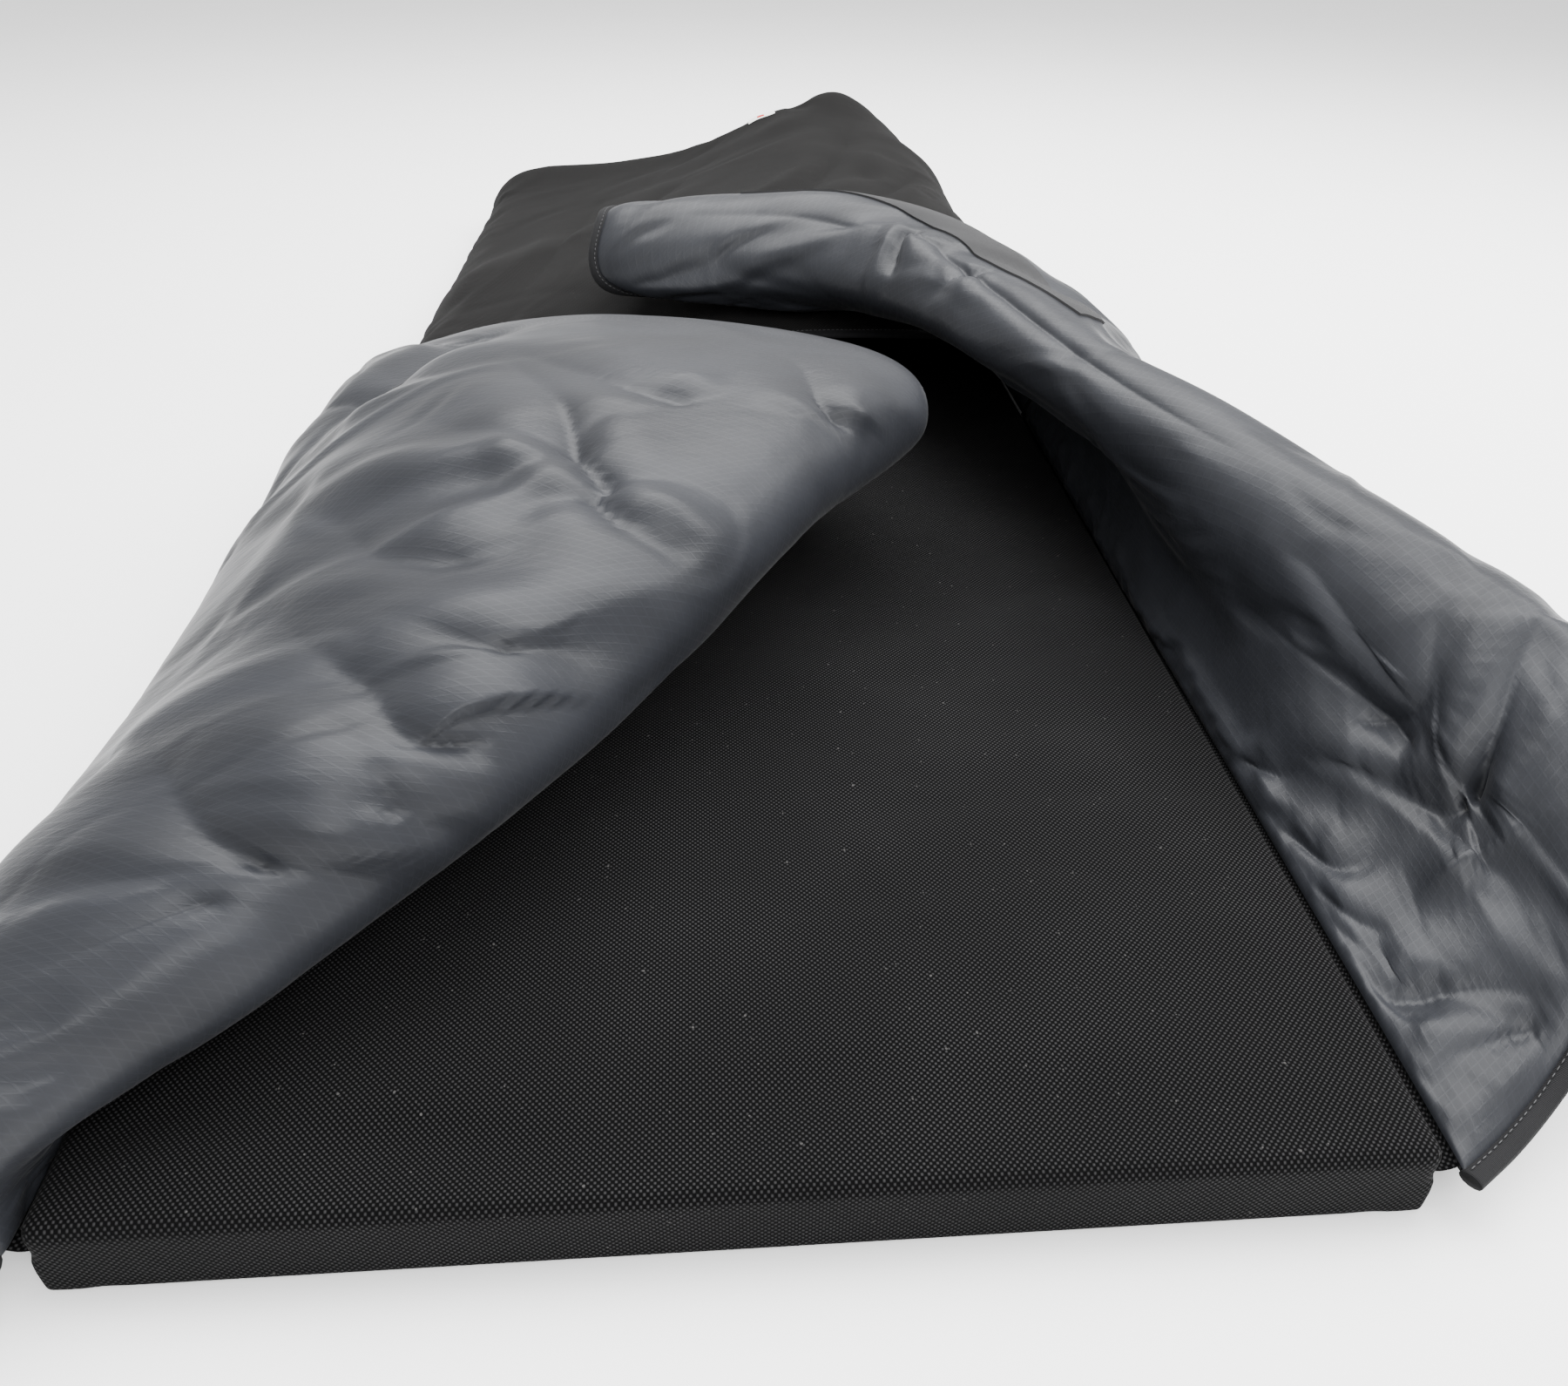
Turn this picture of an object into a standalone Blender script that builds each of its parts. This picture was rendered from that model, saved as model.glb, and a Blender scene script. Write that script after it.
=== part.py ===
"""Infrared sauna blanket, laid open as it looks when someone lies in it.

A flat heated mat carries a closed foot cover and two heated side flaps. Each flap hangs on a piping
cord along one long side of the mat, rises over the wearer and is turned back like a lapel.

Frame: X across the mat, Y from the head end to the foot end, Z up. The origin is the centre of the
mat's underside. Lengths are in metres. "Run" is the distance from the mat's head end.
"""

import math

import bmesh
import bpy
import numpy as np
from mathutils import Matrix, Vector

# ---------------------------------------------------------------- driving dimensions
MAT_WIDTH = 0.650
MAT_LENGTH = 1.800
MAT_HEIGHT = 0.048
MAT_PLAN_RADIUS = 0.014
MAT_EDGE_RADIUS = 0.015

GAP = 0.0003            # between faces that touch
COVER = 0.0012          # woven canvas cover
FOAM_HEIGHT = 0.028
FOIL = 0.0006
FILM = 0.0006           # carbon-fibre heating film
BUS_THICK = 0.0005
BUS_WIDTH = 0.012

PIPING_RADIUS = 0.003
SEAM_HEIGHT = 0.030     # axis of the piping cords above the floor
PIPING_END = 0.036      # side piping stops short of the foot corners
HINGE_CLEARANCE = 0.0006

LINING = 0.0008
SHELL = 0.0010
QUILT_THICK = 0.022     # padded middle of a flap
HEM_THICK = 0.007       # flap at its hems
BINDING_WIDTH = 0.009
BINDING_GAP = 0.0008

FLAP_ROOT_LENGTH = 0.905
FOOT_START = 0.920      # run where the foot cover begins
TAPE_WIDTH_SHARE = 0.45
TAPE_THICK = 0.0016

THERMOSTAT_RADIUS = 0.008
THERMOSTAT_HEIGHT = 0.0045
POCKET_CLEARANCE = 0.0006
PROBE_RADIUS = 0.0025
PROBE_LENGTH = 0.024
HARNESS_RADIUS = 0.0028

INLET_RUN = 1.560       # run of the power inlet on the mat's left side
INLET_WIDTH = 0.040
INLET_HEIGHT = 0.022
INLET_DEPTH = 0.016
INLET_FLANGE = 0.0025
INLET_LIP = 0.005
INLET_FLOOR = 0.003     # material behind the socket
PIN_RADIUS = 0.00125
PIN_LENGTH = 0.008
PIN_PITCH = 0.009

LABEL_LENGTH = 0.046
LABEL_WIDTH = 0.018
LABEL_THICK = 0.0008

# ---------------------------------------------------------------- derived places
HALF_WIDTH = MAT_WIDTH / 2
HEAD_Y = -MAT_LENGTH / 2
PIPING_OFFSET = PIPING_RADIUS + GAP             # piping axis out from the mat's side
ROOT_OFFSET = PIPING_OFFSET + PIPING_RADIUS + HINGE_CLEARANCE + HEM_THICK / 2
ROOT = HALF_WIDTH + ROOT_OFFSET

# Control nets. Each row is one line of the sheet, from its sewn edge to its free hem, as
# (distance out from the mat's side, run, height). Distances inwards are negative and are counted
# across the mat as shares of its width, so that the sheet follows a change of width.
LEFT_FLAP_NET = [
    [(0.000, 0.000, 0.030), (0.004, -0.004, 0.046), (0.010, -0.008, 0.062), (0.018, -0.008, 0.080),
     (0.034, -0.004, 0.096), (0.054, 0.004, 0.100), (0.070, 0.012, 0.088), (0.078, 0.018, 0.070),
     (0.080, 0.022, 0.052)],
    [(0.000, 0.125, 0.030), (0.006, 0.118, 0.052), (-0.024, 0.100, 0.070), (-0.080, 0.084, 0.078),
     (-0.122, 0.078, 0.102), (-0.094, 0.088, 0.130), (-0.014, 0.116, 0.128), (0.044, 0.138, 0.100),
     (0.062, 0.146, 0.066)],
    [(0.000, 0.285, 0.030), (0.014, 0.282, 0.068), (-0.070, 0.258, 0.104), (-0.290, 0.222, 0.112),
     (-0.374, 0.220, 0.144), (-0.318, 0.236, 0.180), (-0.150, 0.276, 0.178), (0.000, 0.316, 0.128),
     (0.044, 0.330, 0.068)],
    [(0.000, 0.490, 0.030), (0.018, 0.490, 0.074), (-0.110, 0.476, 0.124), (-0.520, 0.452, 0.134),
     (-0.620, 0.456, 0.170), (-0.545, 0.484, 0.208), (-0.250, 0.544, 0.210), (-0.014, 0.590, 0.148),
     (0.040, 0.606, 0.070)],
    [(0.000, 0.700, 0.030), (0.018, 0.700, 0.074), (-0.130, 0.680, 0.118), (-0.640, 0.618, 0.130),
     (-0.752, 0.610, 0.160), (-0.680, 0.636, 0.192), (-0.340, 0.704, 0.196), (-0.030, 0.766, 0.138),
     (0.036, 0.782, 0.070)],
    [(0.000, 0.885, 0.030), (0.016, 0.882, 0.070), (-0.120, 0.860, 0.106), (-0.480, 0.780, 0.114),
     (-0.590, 0.752, 0.138), (-0.525, 0.764, 0.168), (-0.290, 0.812, 0.158), (-0.050, 0.862, 0.112),
     (0.034, 0.880, 0.070)],
]
RIGHT_FLAP_NET = [
    [(0.000, 0.000, 0.030), (0.030, 0.018, 0.032), (0.064, 0.042, 0.040), (0.092, 0.064, 0.064),
     (0.112, 0.082, 0.100), (0.138, 0.094, 0.126), (0.172, 0.100, 0.126), (0.196, 0.100, 0.102)],
    [(0.000, 0.165, 0.030), (0.026, 0.172, 0.036), (0.058, 0.184, 0.058), (0.084, 0.200, 0.098),
     (0.104, 0.216, 0.138), (0.132, 0.230, 0.160), (0.170, 0.238, 0.148), (0.194, 0.240, 0.112)],
    [(0.000, 0.335, 0.030), (0.024, 0.335, 0.050), (0.036, 0.336, 0.088), (0.040, 0.338, 0.130),
     (0.050, 0.344, 0.166), (0.080, 0.354, 0.182), (0.118, 0.362, 0.162), (0.140, 0.364, 0.116)],
    [(0.000, 0.500, 0.030), (0.014, 0.500, 0.064), (0.018, 0.502, 0.112), (-0.022, 0.506, 0.150),
     (-0.052, 0.516, 0.178), (-0.028, 0.538, 0.200), (0.018, 0.560, 0.186), (0.052, 0.572, 0.138)],
    [(0.000, 0.680, 0.030), (0.014, 0.682, 0.076), (0.004, 0.690, 0.132), (-0.090, 0.698, 0.160),
     (-0.176, 0.706, 0.182), (-0.160, 0.744, 0.216), (-0.072, 0.784, 0.212), (0.020, 0.806, 0.172)],
    [(0.000, 0.820, 0.030), (0.012, 0.824, 0.084), (-0.010, 0.846, 0.146), (-0.190, 0.872, 0.162),
     (-0.340, 0.884, 0.180), (-0.330, 0.930, 0.228), (-0.250, 0.988, 0.216), (-0.180, 1.018, 0.176)],
    [(0.000, 0.896, 0.030), (0.012, 0.900, 0.084), (-0.056, 0.936, 0.150), (-0.420, 0.946, 0.152),
     (-0.676, 0.936, 0.168), (-0.684, 0.978, 0.224), (-0.650, 1.040, 0.212), (-0.620, 1.074, 0.176)],
]
# The foot cover's rows run from the left seam to the right one. Here the first number is the place
# across the mat, as a share of half its width. At 1 and beyond it is counted from the seam.
FOOT_COVER_NET = [
    [(-1.000, 0.020, 0.030), (-1.004, 0.018, 0.058), (-0.890, 0.010, 0.084), (-0.500, 0.000, 0.106),
     (0.000, -0.004, 0.118), (0.450, -0.004, 0.122), (0.880, 0.004, 0.112), (1.030, 0.012, 0.074),
     (1.000, 0.014, 0.030)],
    [(-1.000, 0.240, 0.030), (-1.004, 0.240, 0.058), (-0.890, 0.240, 0.084), (-0.480, 0.240, 0.114),
     (0.000, 0.240, 0.144), (0.450, 0.240, 0.158), (0.870, 0.240, 0.142), (1.060, 0.240, 0.086),
     (1.000, 0.240, 0.030)],
    [(-1.000, 0.520, 0.030), (-1.004, 0.520, 0.056), (-0.880, 0.520, 0.078), (-0.470, 0.520, 0.100),
     (0.000, 0.520, 0.136), (0.450, 0.520, 0.164), (0.870, 0.520, 0.148), (1.070, 0.520, 0.090),
     (1.000, 0.520, 0.030)],
    [(-1.000, 0.740, 0.030), (-1.000, 0.740, 0.056), (-0.860, 0.740, 0.076), (-0.450, 0.745, 0.092),
     (0.000, 0.750, 0.124), (0.420, 0.755, 0.170), (0.800, 0.750, 0.168), (1.050, 0.740, 0.094),
     (1.000, 0.740, 0.030)],
    [(-1.000, 0.846, 0.030), (-1.000, 0.848, 0.058), (-0.870, 0.852, 0.086), (-0.420, 0.856, 0.098),
     (0.030, 0.862, 0.132), (0.420, 0.868, 0.186), (0.700, 0.866, 0.190), (1.000, 0.850, 0.092),
     (1.000, 0.846, 0.030)],
]
FOOT_END_HEIGHT = 0.030
# Rows that close the foot cover down to the mat's end: how far past the mat's foot end, the share of
# the last row's height that is left, and how far its points have moved to their places on the seam.
FOOT_END_ROWS = [(0.012, 0.60, 0.35), (ROOT_OFFSET, 0.0, 1.0)]
FOOT_END_PLACES = (-0.965, -0.900, -0.760, -0.420, 0.030, 0.420, 0.720, 0.900, 0.965)

# Parameters at which the nets are sampled, as steps per span. Tight folds get more.
LEFT_FLAP_STEPS = ([2, 2, 2, 3, 3, 2, 2, 2], [2, 2, 2, 2, 2])
RIGHT_FLAP_STEPS = ([2, 2, 2, 3, 3, 2, 2], [2, 2, 2, 2, 2, 2])
FOOT_COVER_STEPS = ([2, 2, 1, 1, 1, 1, 2, 2], [1, 1, 1, 2, 2, 2])


# ---------------------------------------------------------------- materials
def material(name, colour, roughness, metallic=0.0):
    """A Principled material, made once for each name."""
    found = bpy.data.materials.get(name)
    if found:
        return found
    made = bpy.data.materials.new(name)
    made.use_nodes = True
    shader = made.node_tree.nodes["Principled BSDF"]
    shader.inputs["Base Color"].default_value = (*colour, 1.0)
    shader.inputs["Roughness"].default_value = roughness
    shader.inputs["Metallic"].default_value = metallic
    return made


def canvas():
    return material("black_canvas", (0.022, 0.022, 0.024), 0.85)


def ripstop():
    return material("slate_ripstop", (0.060, 0.063, 0.070), 0.42)


def wadding():
    return material("white_wadding", (0.78, 0.77, 0.74), 0.95)


def carbon_film():
    return material("carbon_film", (0.030, 0.030, 0.032), 0.55)


def copper():
    return material("copper_foil", (0.72, 0.42, 0.26), 0.35, 1.0)


def aluminium_foil():
    return material("aluminium_foil", (0.80, 0.80, 0.81), 0.25, 1.0)


def foam():
    return material("grey_foam", (0.30, 0.30, 0.31), 0.95)


def black_plastic():
    return material("black_plastic", (0.020, 0.020, 0.022), 0.5)


def metal_case():
    return material("nickel_case", (0.62, 0.61, 0.58), 0.3, 1.0)


def cable_jacket():
    return material("silicone_jacket", (0.50, 0.06, 0.05), 0.5)


def tape():
    return material("fastener_tape", (0.030, 0.030, 0.032), 0.9)


def label_cloth():
    return material("label_cloth", (0.85, 0.85, 0.84), 0.7)


# ---------------------------------------------------------------- mesh helpers
def link(name, mesh, finish, smooth=False):
    """Links a mesh as one named object with its material."""
    obj = bpy.data.objects.new(name, mesh)
    bpy.context.scene.collection.objects.link(obj)
    mesh.materials.append(finish)
    if smooth:
        mesh.shade_smooth()
    return obj


def mesh_from(name, points, faces):
    """A mesh whose faces all point out."""
    mesh = bpy.data.meshes.new(name)
    mesh.from_pydata([tuple(p) for p in points], [], faces)
    work = bmesh.new()
    work.from_mesh(mesh)
    bmesh.ops.recalc_face_normals(work, faces=work.faces)
    if work.calc_volume(signed=True) < 0:
        bmesh.ops.reverse_faces(work, faces=work.faces)
    work.to_mesh(mesh)
    work.free()
    return mesh


def ring(half_x, half_y, radius, height, corner_steps=4):
    """A rounded rectangle at one height, as points in order."""
    points = []
    centres = ((1, 1, 0), (-1, 1, 1), (-1, -1, 2), (1, -1, 3))
    for side_x, side_y, quarter in centres:
        for step in range(corner_steps + 1):
            angle = math.pi / 2 * (quarter + step / corner_steps)
            points.append((
                side_x * (half_x - radius) + radius * math.cos(angle),
                side_y * (half_y - radius) + radius * math.sin(angle),
                height,
            ))
    return points


def loft(rings):
    """Points and faces of a closed stack of rings, the first and last filled."""
    count = len(rings[0])
    points = [point for one in rings for point in one]
    faces = [tuple(range(count))]
    for level in range(len(rings) - 1):
        base = level * count
        for i in range(count):
            j = (i + 1) % count
            faces.append((base + i, base + j, base + count + j, base + count + i))
    last = (len(rings) - 1) * count
    faces.append(tuple(range(last, last + count)))
    return points, faces


def slab_rings(inset, low, high, top_radius=0.0, arc_steps=3, bottom=0.0):
    """Rings of a mat layer, inset from the mat's outline. Its upper edge is rounded, its lower
    edge may be chamfered by bottom."""
    half_x = HALF_WIDTH - inset
    half_y = MAT_LENGTH / 2 - inset
    plan = max(MAT_PLAN_RADIUS - inset, 0.002)
    rings = [ring(half_x, half_y, plan, low + bottom)]
    if bottom:
        rings.insert(0, ring(half_x - bottom, half_y - bottom, plan - bottom, low))
    if top_radius <= 0:
        return rings + [ring(half_x, half_y, plan, high)]
    for step in range(arc_steps + 1):
        angle = math.pi / 2 * step / arc_steps
        pull = top_radius * (1 - math.cos(angle))
        rings.append(ring(half_x - pull, half_y - pull, max(plan - pull, 0.001),
                          high - top_radius * (1 - math.sin(angle))))
    return rings


def cutter(name, mesh):
    """Links a mesh that only cuts others."""
    obj = bpy.data.objects.new(name, mesh)
    bpy.context.scene.collection.objects.link(obj)
    obj.hide_render = True
    obj.display_type = "WIRE"
    return obj


def subtract(obj, tool):
    """Cuts tool out of obj."""
    boolean = obj.modifiers.new("cut_" + tool.name, "BOOLEAN")
    boolean.operation = "DIFFERENCE"
    boolean.solver = "EXACT"
    boolean.object = tool


def box_mesh(name, low, high):
    """A mesh box between two corners."""
    work = bmesh.new()
    bmesh.ops.create_cube(work, size=1.0)
    centre = (Vector(low) + Vector(high)) / 2
    size = Vector(high) - Vector(low)
    bmesh.ops.scale(work, vec=size, verts=work.verts)
    bmesh.ops.translate(work, vec=centre, verts=work.verts)
    mesh = bpy.data.meshes.new(name)
    work.to_mesh(mesh)
    work.free()
    return mesh


def disc_mesh(name, radius, height, matrix, segments=16):
    """An upright cylinder whose foot is at the matrix's origin."""
    work = bmesh.new()
    bmesh.ops.create_cone(work, cap_ends=True, segments=segments, radius1=radius, radius2=radius,
                          depth=height)
    bmesh.ops.translate(work, vec=(0, 0, height / 2), verts=work.verts)
    bmesh.ops.transform(work, matrix=matrix, verts=work.verts)
    mesh = bpy.data.meshes.new(name)
    work.to_mesh(mesh)
    work.free()
    return mesh


def rod(name, start, end, radius, finish, segments=10):
    """A straight round rod from start to end."""
    start, end = Vector(start), Vector(end)
    along = end - start
    turn = along.to_track_quat("Z", "Y").to_matrix().to_4x4()
    mesh = disc_mesh(name, radius, along.length, Matrix.Translation(start) @ turn, segments)
    return link(name, mesh, finish)


# ---------------------------------------------------------------- draped sheets
def flap_point(side, entry):
    """World place of a flap net's entry. side is -1 for the left flap and 1 for the right."""
    out, run, height = entry
    across = ROOT + out if out >= 0 else ROOT + out * MAT_WIDTH
    share = run / 0.900 * FLAP_ROOT_LENGTH / 0.905
    return np.array((side * across, HEAD_Y + share * 0.900, height))


def foot_rows():
    """The foot cover's control rows in world places."""
    rows = []
    length = MAT_LENGTH - FOOT_START
    for entries in FOOT_COVER_NET:
        row = []
        for across, run, height in entries:
            beyond = max(abs(across) - 1, 0)
            edge = ROOT + beyond * HALF_WIDTH if abs(across) >= 1 else abs(across) * HALF_WIDTH
            y = HEAD_Y + FOOT_START + run / 0.880 * length
            row.append(np.array((math.copysign(edge, across), y, height)))
        rows.append(row)
    last = rows[-1]
    for past, left, moved in FOOT_END_ROWS:
        row = []
        for point, place in zip(last, FOOT_END_PLACES):
            x = point[0] + (place * HALF_WIDTH - point[0]) * moved
            height = FOOT_END_HEIGHT + (point[2] - FOOT_END_HEIGHT) * left
            row.append(np.array((x, MAT_LENGTH / 2 + past, height)))
        rows.append(row)
    return rows


def spline(points, at):
    """Catmull-Rom through points (first axis), read at the parameters in at."""
    points = np.asarray(points, float)
    ends = (2 * points[:1] - points[1:2], points, 2 * points[-1:] - points[-2:-1])
    padded = np.concatenate(ends)
    read = []
    for value in at:
        span = min(int(value), len(points) - 2)
        t = value - span
        a, b, c, d = padded[span:span + 4]
        read.append(0.5 * (2 * b + (c - a) * t + (2 * a - 5 * b + 4 * c - d) * t * t
                           + (3 * b - a - 3 * c + d) * t ** 3))
    return np.array(read)


def parameters(steps):
    """Spline parameters for a number of steps in each span."""
    values = [0.0]
    for span, count in enumerate(steps):
        values += [span + (i + 1) / count for i in range(count)]
    return np.array(values)


def fullness(share):
    """0 at both ends of 0..1 and 1 across the middle, for the padding's thickness."""
    rise = np.clip(np.minimum(share, 1 - share) / 0.16, 0, 1)
    return rise * rise * (3 - 2 * rise)


class Sheet:
    """A draped quilted sheet: its middle surface, its outward normals and its thickness."""

    def __init__(self, rows, steps, turn):
        """rows: control rows; steps: samples along a row and across the rows; turn: 1 or -1."""
        along, across = (parameters(s) for s in steps)
        lines = [spline(row, along) for row in rows]
        self.grid = spline(lines, across)
        by_row = np.gradient(self.grid, axis=0)
        by_path = np.gradient(self.grid, axis=1)
        normal = np.cross(by_path, by_row) * turn
        normal /= np.linalg.norm(normal, axis=2, keepdims=True)
        around = np.pad(normal, ((1, 1), (1, 1), (0, 0)), mode="edge")
        normal = (2 * normal + around[:-2, 1:-1] + around[2:, 1:-1]
                  + around[1:-1, :-2] + around[1:-1, 2:])
        self.normal = normal / np.linalg.norm(normal, axis=2, keepdims=True)
        fill = np.outer(fullness(across / across[-1]), fullness(along / along[-1]))
        self.half = (HEM_THICK + (QUILT_THICK - HEM_THICK) * fill) / 2
        self.rows, self.columns = self.grid.shape[:2]

    def level(self, from_lining=None, from_shell=None):
        """Offsets from the middle surface, counted in from one of the two faces."""
        if from_lining is not None:
            return from_lining - self.half
        return self.half - from_shell

    def points(self, offset):
        """The grid moved out along its normals by offset."""
        return self.grid + self.normal * offset[..., None]

    def layer(self, name, low, high, finish, rows=None, columns=None):
        """One closed layer between two offsets, over a range of rows and columns."""
        r0, r1 = rows or (0, self.rows - 1)
        c0, c1 = columns or (0, self.columns - 1)
        picked = (slice(r0, r1 + 1), slice(c0, c1 + 1))
        lower = self.points(low)[picked].reshape(-1, 3)
        upper = self.points(high)[picked].reshape(-1, 3)
        wide, deep = c1 - c0 + 1, r1 - r0 + 1
        top = len(lower)
        faces = []
        for r in range(deep - 1):
            for c in range(wide - 1):
                a = r * wide + c
                for tri in ((a, a + 1, a + wide + 1), (a, a + wide + 1, a + wide)):
                    faces += [tri, tuple(top + i for i in reversed(tri))]
        rim = [c for c in range(wide)]
        rim += [r * wide + wide - 1 for r in range(1, deep)]
        rim += [(deep - 1) * wide + c for c in range(wide - 2, -1, -1)]
        rim += [r * wide for r in range(deep - 2, 0, -1)]
        for i, here in enumerate(rim):
            there = rim[(i + 1) % len(rim)]
            faces += [(there, here, top + here), (there, top + here, top + there)]
        mesh = mesh_from(name, np.concatenate([lower, upper]), faces)
        return link(name, mesh, finish)

    def facet(self, row, column, offset):
        """A place on one flat facet at an offset: a matrix whose Z is the facet's normal."""
        points = self.points(offset)
        a, b = points[row, column], points[row, column + 1]
        c = points[row + 1, column + 1]
        z = Vector(np.cross(b - a, c - a)).normalized()
        if z.dot(Vector(self.normal[row, column])) < 0:
            z.negate()
        x = Vector(b - a).normalized()
        axes = Matrix((x, z.cross(x), z)).transposed().to_4x4()
        return Matrix.Translation(Vector((a + b + c) / 3)) @ axes

    def rim(self, edges):
        """Places, outward directions and normals along the named edges, in order."""
        last_row, last_column = self.rows - 1, self.columns - 1
        walks = {
            "first_row": [(0, c) for c in range(self.columns)],
            "hem": [(r, last_column) for r in range(self.rows)],
            "last_row": [(last_row, c) for c in range(last_column, -1, -1)],
        }
        inward = {"first_row": (1, 0), "hem": (0, -1), "last_row": (-1, 0)}
        found = {}
        for edge in edges:
            walk = walks[edge]
            tangents = np.gradient(np.array([self.grid[spot] for spot in walk]), axis=0)
            for (r, c), tangent in zip(walk, tangents):
                dr, dc = inward[edge]
                out = np.cross(tangent, self.normal[r, c])
                out = out / np.linalg.norm(out)
                if out @ (self.grid[r, c] - self.grid[r + dr, c + dc]) < 0:
                    out = -out
                found.setdefault((r, c), []).append(out)
        places = np.array([self.grid[spot] for spot in found])
        normals = np.array([self.normal[spot] for spot in found])
        outs = np.array([sum(outs) / (1 + outs[0] @ outs[-1] if len(outs) > 1 else 1)
                         for outs in found.values()])
        return places, outs, normals

    def binding(self, name, edges, finish):
        """A folded strip sewn over the sheet's hems, as a bar just outside them."""
        places, outs, normals = self.rim(edges)
        half = HEM_THICK / 2
        reaches = (BINDING_GAP, BINDING_WIDTH, BINDING_WIDTH, BINDING_GAP)
        sections = [places + outs * reach + normals * lift
                    for reach, lift in zip(reaches, (-half, -half, half, half))]
        rings = list(zip(*[section.tolist() for section in sections]))
        points, quads = loft(rings)
        faces = [tri for a, b, c, d in quads for tri in ((a, b, c), (a, c, d))]
        return link(name, mesh_from(name, points, faces), finish)


# ---------------------------------------------------------------- quilted pieces
def quilt(prefix, sheet, edges, heater_rows, heater_columns):
    """The layers that every heated sheet has, from the lining to the canvas."""
    sheet.layer(prefix + "_lining", sheet.level(from_lining=0), sheet.level(from_lining=LINING),
                ripstop())
    film_low = LINING + GAP
    film_high = film_low + FILM
    bus_high = film_high + GAP + BUS_THICK
    sheet.layer(prefix + "_heater_film", sheet.level(from_lining=film_low),
                sheet.level(from_lining=film_high), carbon_film(), heater_rows, heater_columns)
    low, high = heater_columns
    for label, first in (("near_seam", low), ("near_hem", high - 1)):
        sheet.layer(f"{prefix}_bus_bar_{label}", sheet.level(from_lining=film_high + GAP),
                    sheet.level(from_lining=bus_high), copper(), heater_rows, (first, first + 1))
    body = sheet.layer(prefix + "_wadding", sheet.level(from_lining=bus_high + GAP),
                       sheet.level(from_shell=SHELL + GAP), wadding(),
                       (0, sheet.rows - 1), (0, sheet.columns - 1))
    sheet.layer(prefix + "_shell", sheet.level(from_shell=SHELL), sheet.level(from_shell=0), canvas())
    sheet.binding(prefix + "_binding", edges, canvas())
    return body, bus_high


def add_thermostat(name, sheet, body, bus_high, row, column):
    """A bimetal cut-out in a pocket of the wadding, on the heating film."""
    foot = sheet.facet(row, column, sheet.level(from_lining=bus_high + GAP))
    disc = disc_mesh(name, THERMOSTAT_RADIUS, THERMOSTAT_HEIGHT, foot)
    link(name, disc, metal_case())
    sink = THERMOSTAT_HEIGHT
    pocket = disc_mesh(name + "_pocket", THERMOSTAT_RADIUS + POCKET_CLEARANCE,
                       THERMOSTAT_HEIGHT + POCKET_CLEARANCE + sink,
                       foot @ Matrix.Translation((0, 0, -sink)))
    subtract(body, cutter(name + "_pocket", pocket))


def flap(prefix, side, net, steps, heater, thermostat_cell):
    """One side flap with all its layers. side is -1 for the left flap and 1 for the right."""
    rows = [[flap_point(side, entry) for entry in row] for row in net]
    sheet = Sheet(rows, steps, -side)
    body, bus_high = quilt(prefix, sheet, ("first_row", "hem", "last_row"), *heater)
    add_thermostat(prefix + "_thermostat", sheet, body, bus_high, *thermostat_cell)
    return sheet


# ---------------------------------------------------------------- the mat
def mat_levels():
    """Heights of the mat's layers, bottom up, as name to (low, high)."""
    levels, height = {}, COVER + GAP
    for name, thick in (("foam", FOAM_HEIGHT), ("foil", FOIL), ("film", FILM), ("bus", BUS_THICK)):
        levels[name] = (height, height + thick)
        height += thick + GAP
    levels["felt"] = (height, MAT_HEIGHT - COVER - GAP)
    return levels


def mat_cover(name, lower):
    """The lower or the upper half of the mat's canvas cover, a shell open at the seam."""
    seam = SEAM_HEIGHT - GAP / 2 if lower else SEAM_HEIGHT + GAP / 2
    if lower:
        outer = slab_rings(0.0, -seam, 0.0, 0.004, 2)
        inner = slab_rings(COVER, -seam, -COVER, 0.003, 2)
    else:
        outer = slab_rings(0.0, seam, MAT_HEIGHT, MAT_EDGE_RADIUS)
        inner = slab_rings(COVER, seam, MAT_HEIGHT - COVER, MAT_EDGE_RADIUS - COVER)
    count = len(outer[0])
    points = [p for one in outer + inner for p in one]
    faces = []
    for start, rings in ((0, outer), (len(outer) * count, inner)):
        for level in range(len(rings) - 1):
            base = start + level * count
            for i in range(count):
                j = (i + 1) % count
                faces.append((base + i, base + j, base + count + j, base + count + i))
        last = start + (len(rings) - 1) * count
        faces.append(tuple(range(last, last + count)))
    inner_start = len(outer) * count
    for i in range(count):
        j = (i + 1) % count
        faces.append((i, j, inner_start + j, inner_start + i))
    if lower:
        points = [(x, y, -z) for x, y, z in points]
    return link(name, mesh_from(name, points, faces), canvas())


def mat_layer(name, level, finish, inset=0.0, top_radius=0.0, bottom=0.0):
    """One flat layer inside the mat's cover."""
    points, faces = loft(slab_rings(COVER + GAP + inset, *level, top_radius, bottom=bottom))
    return link(name, mesh_from(name, points, faces), finish)


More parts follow.
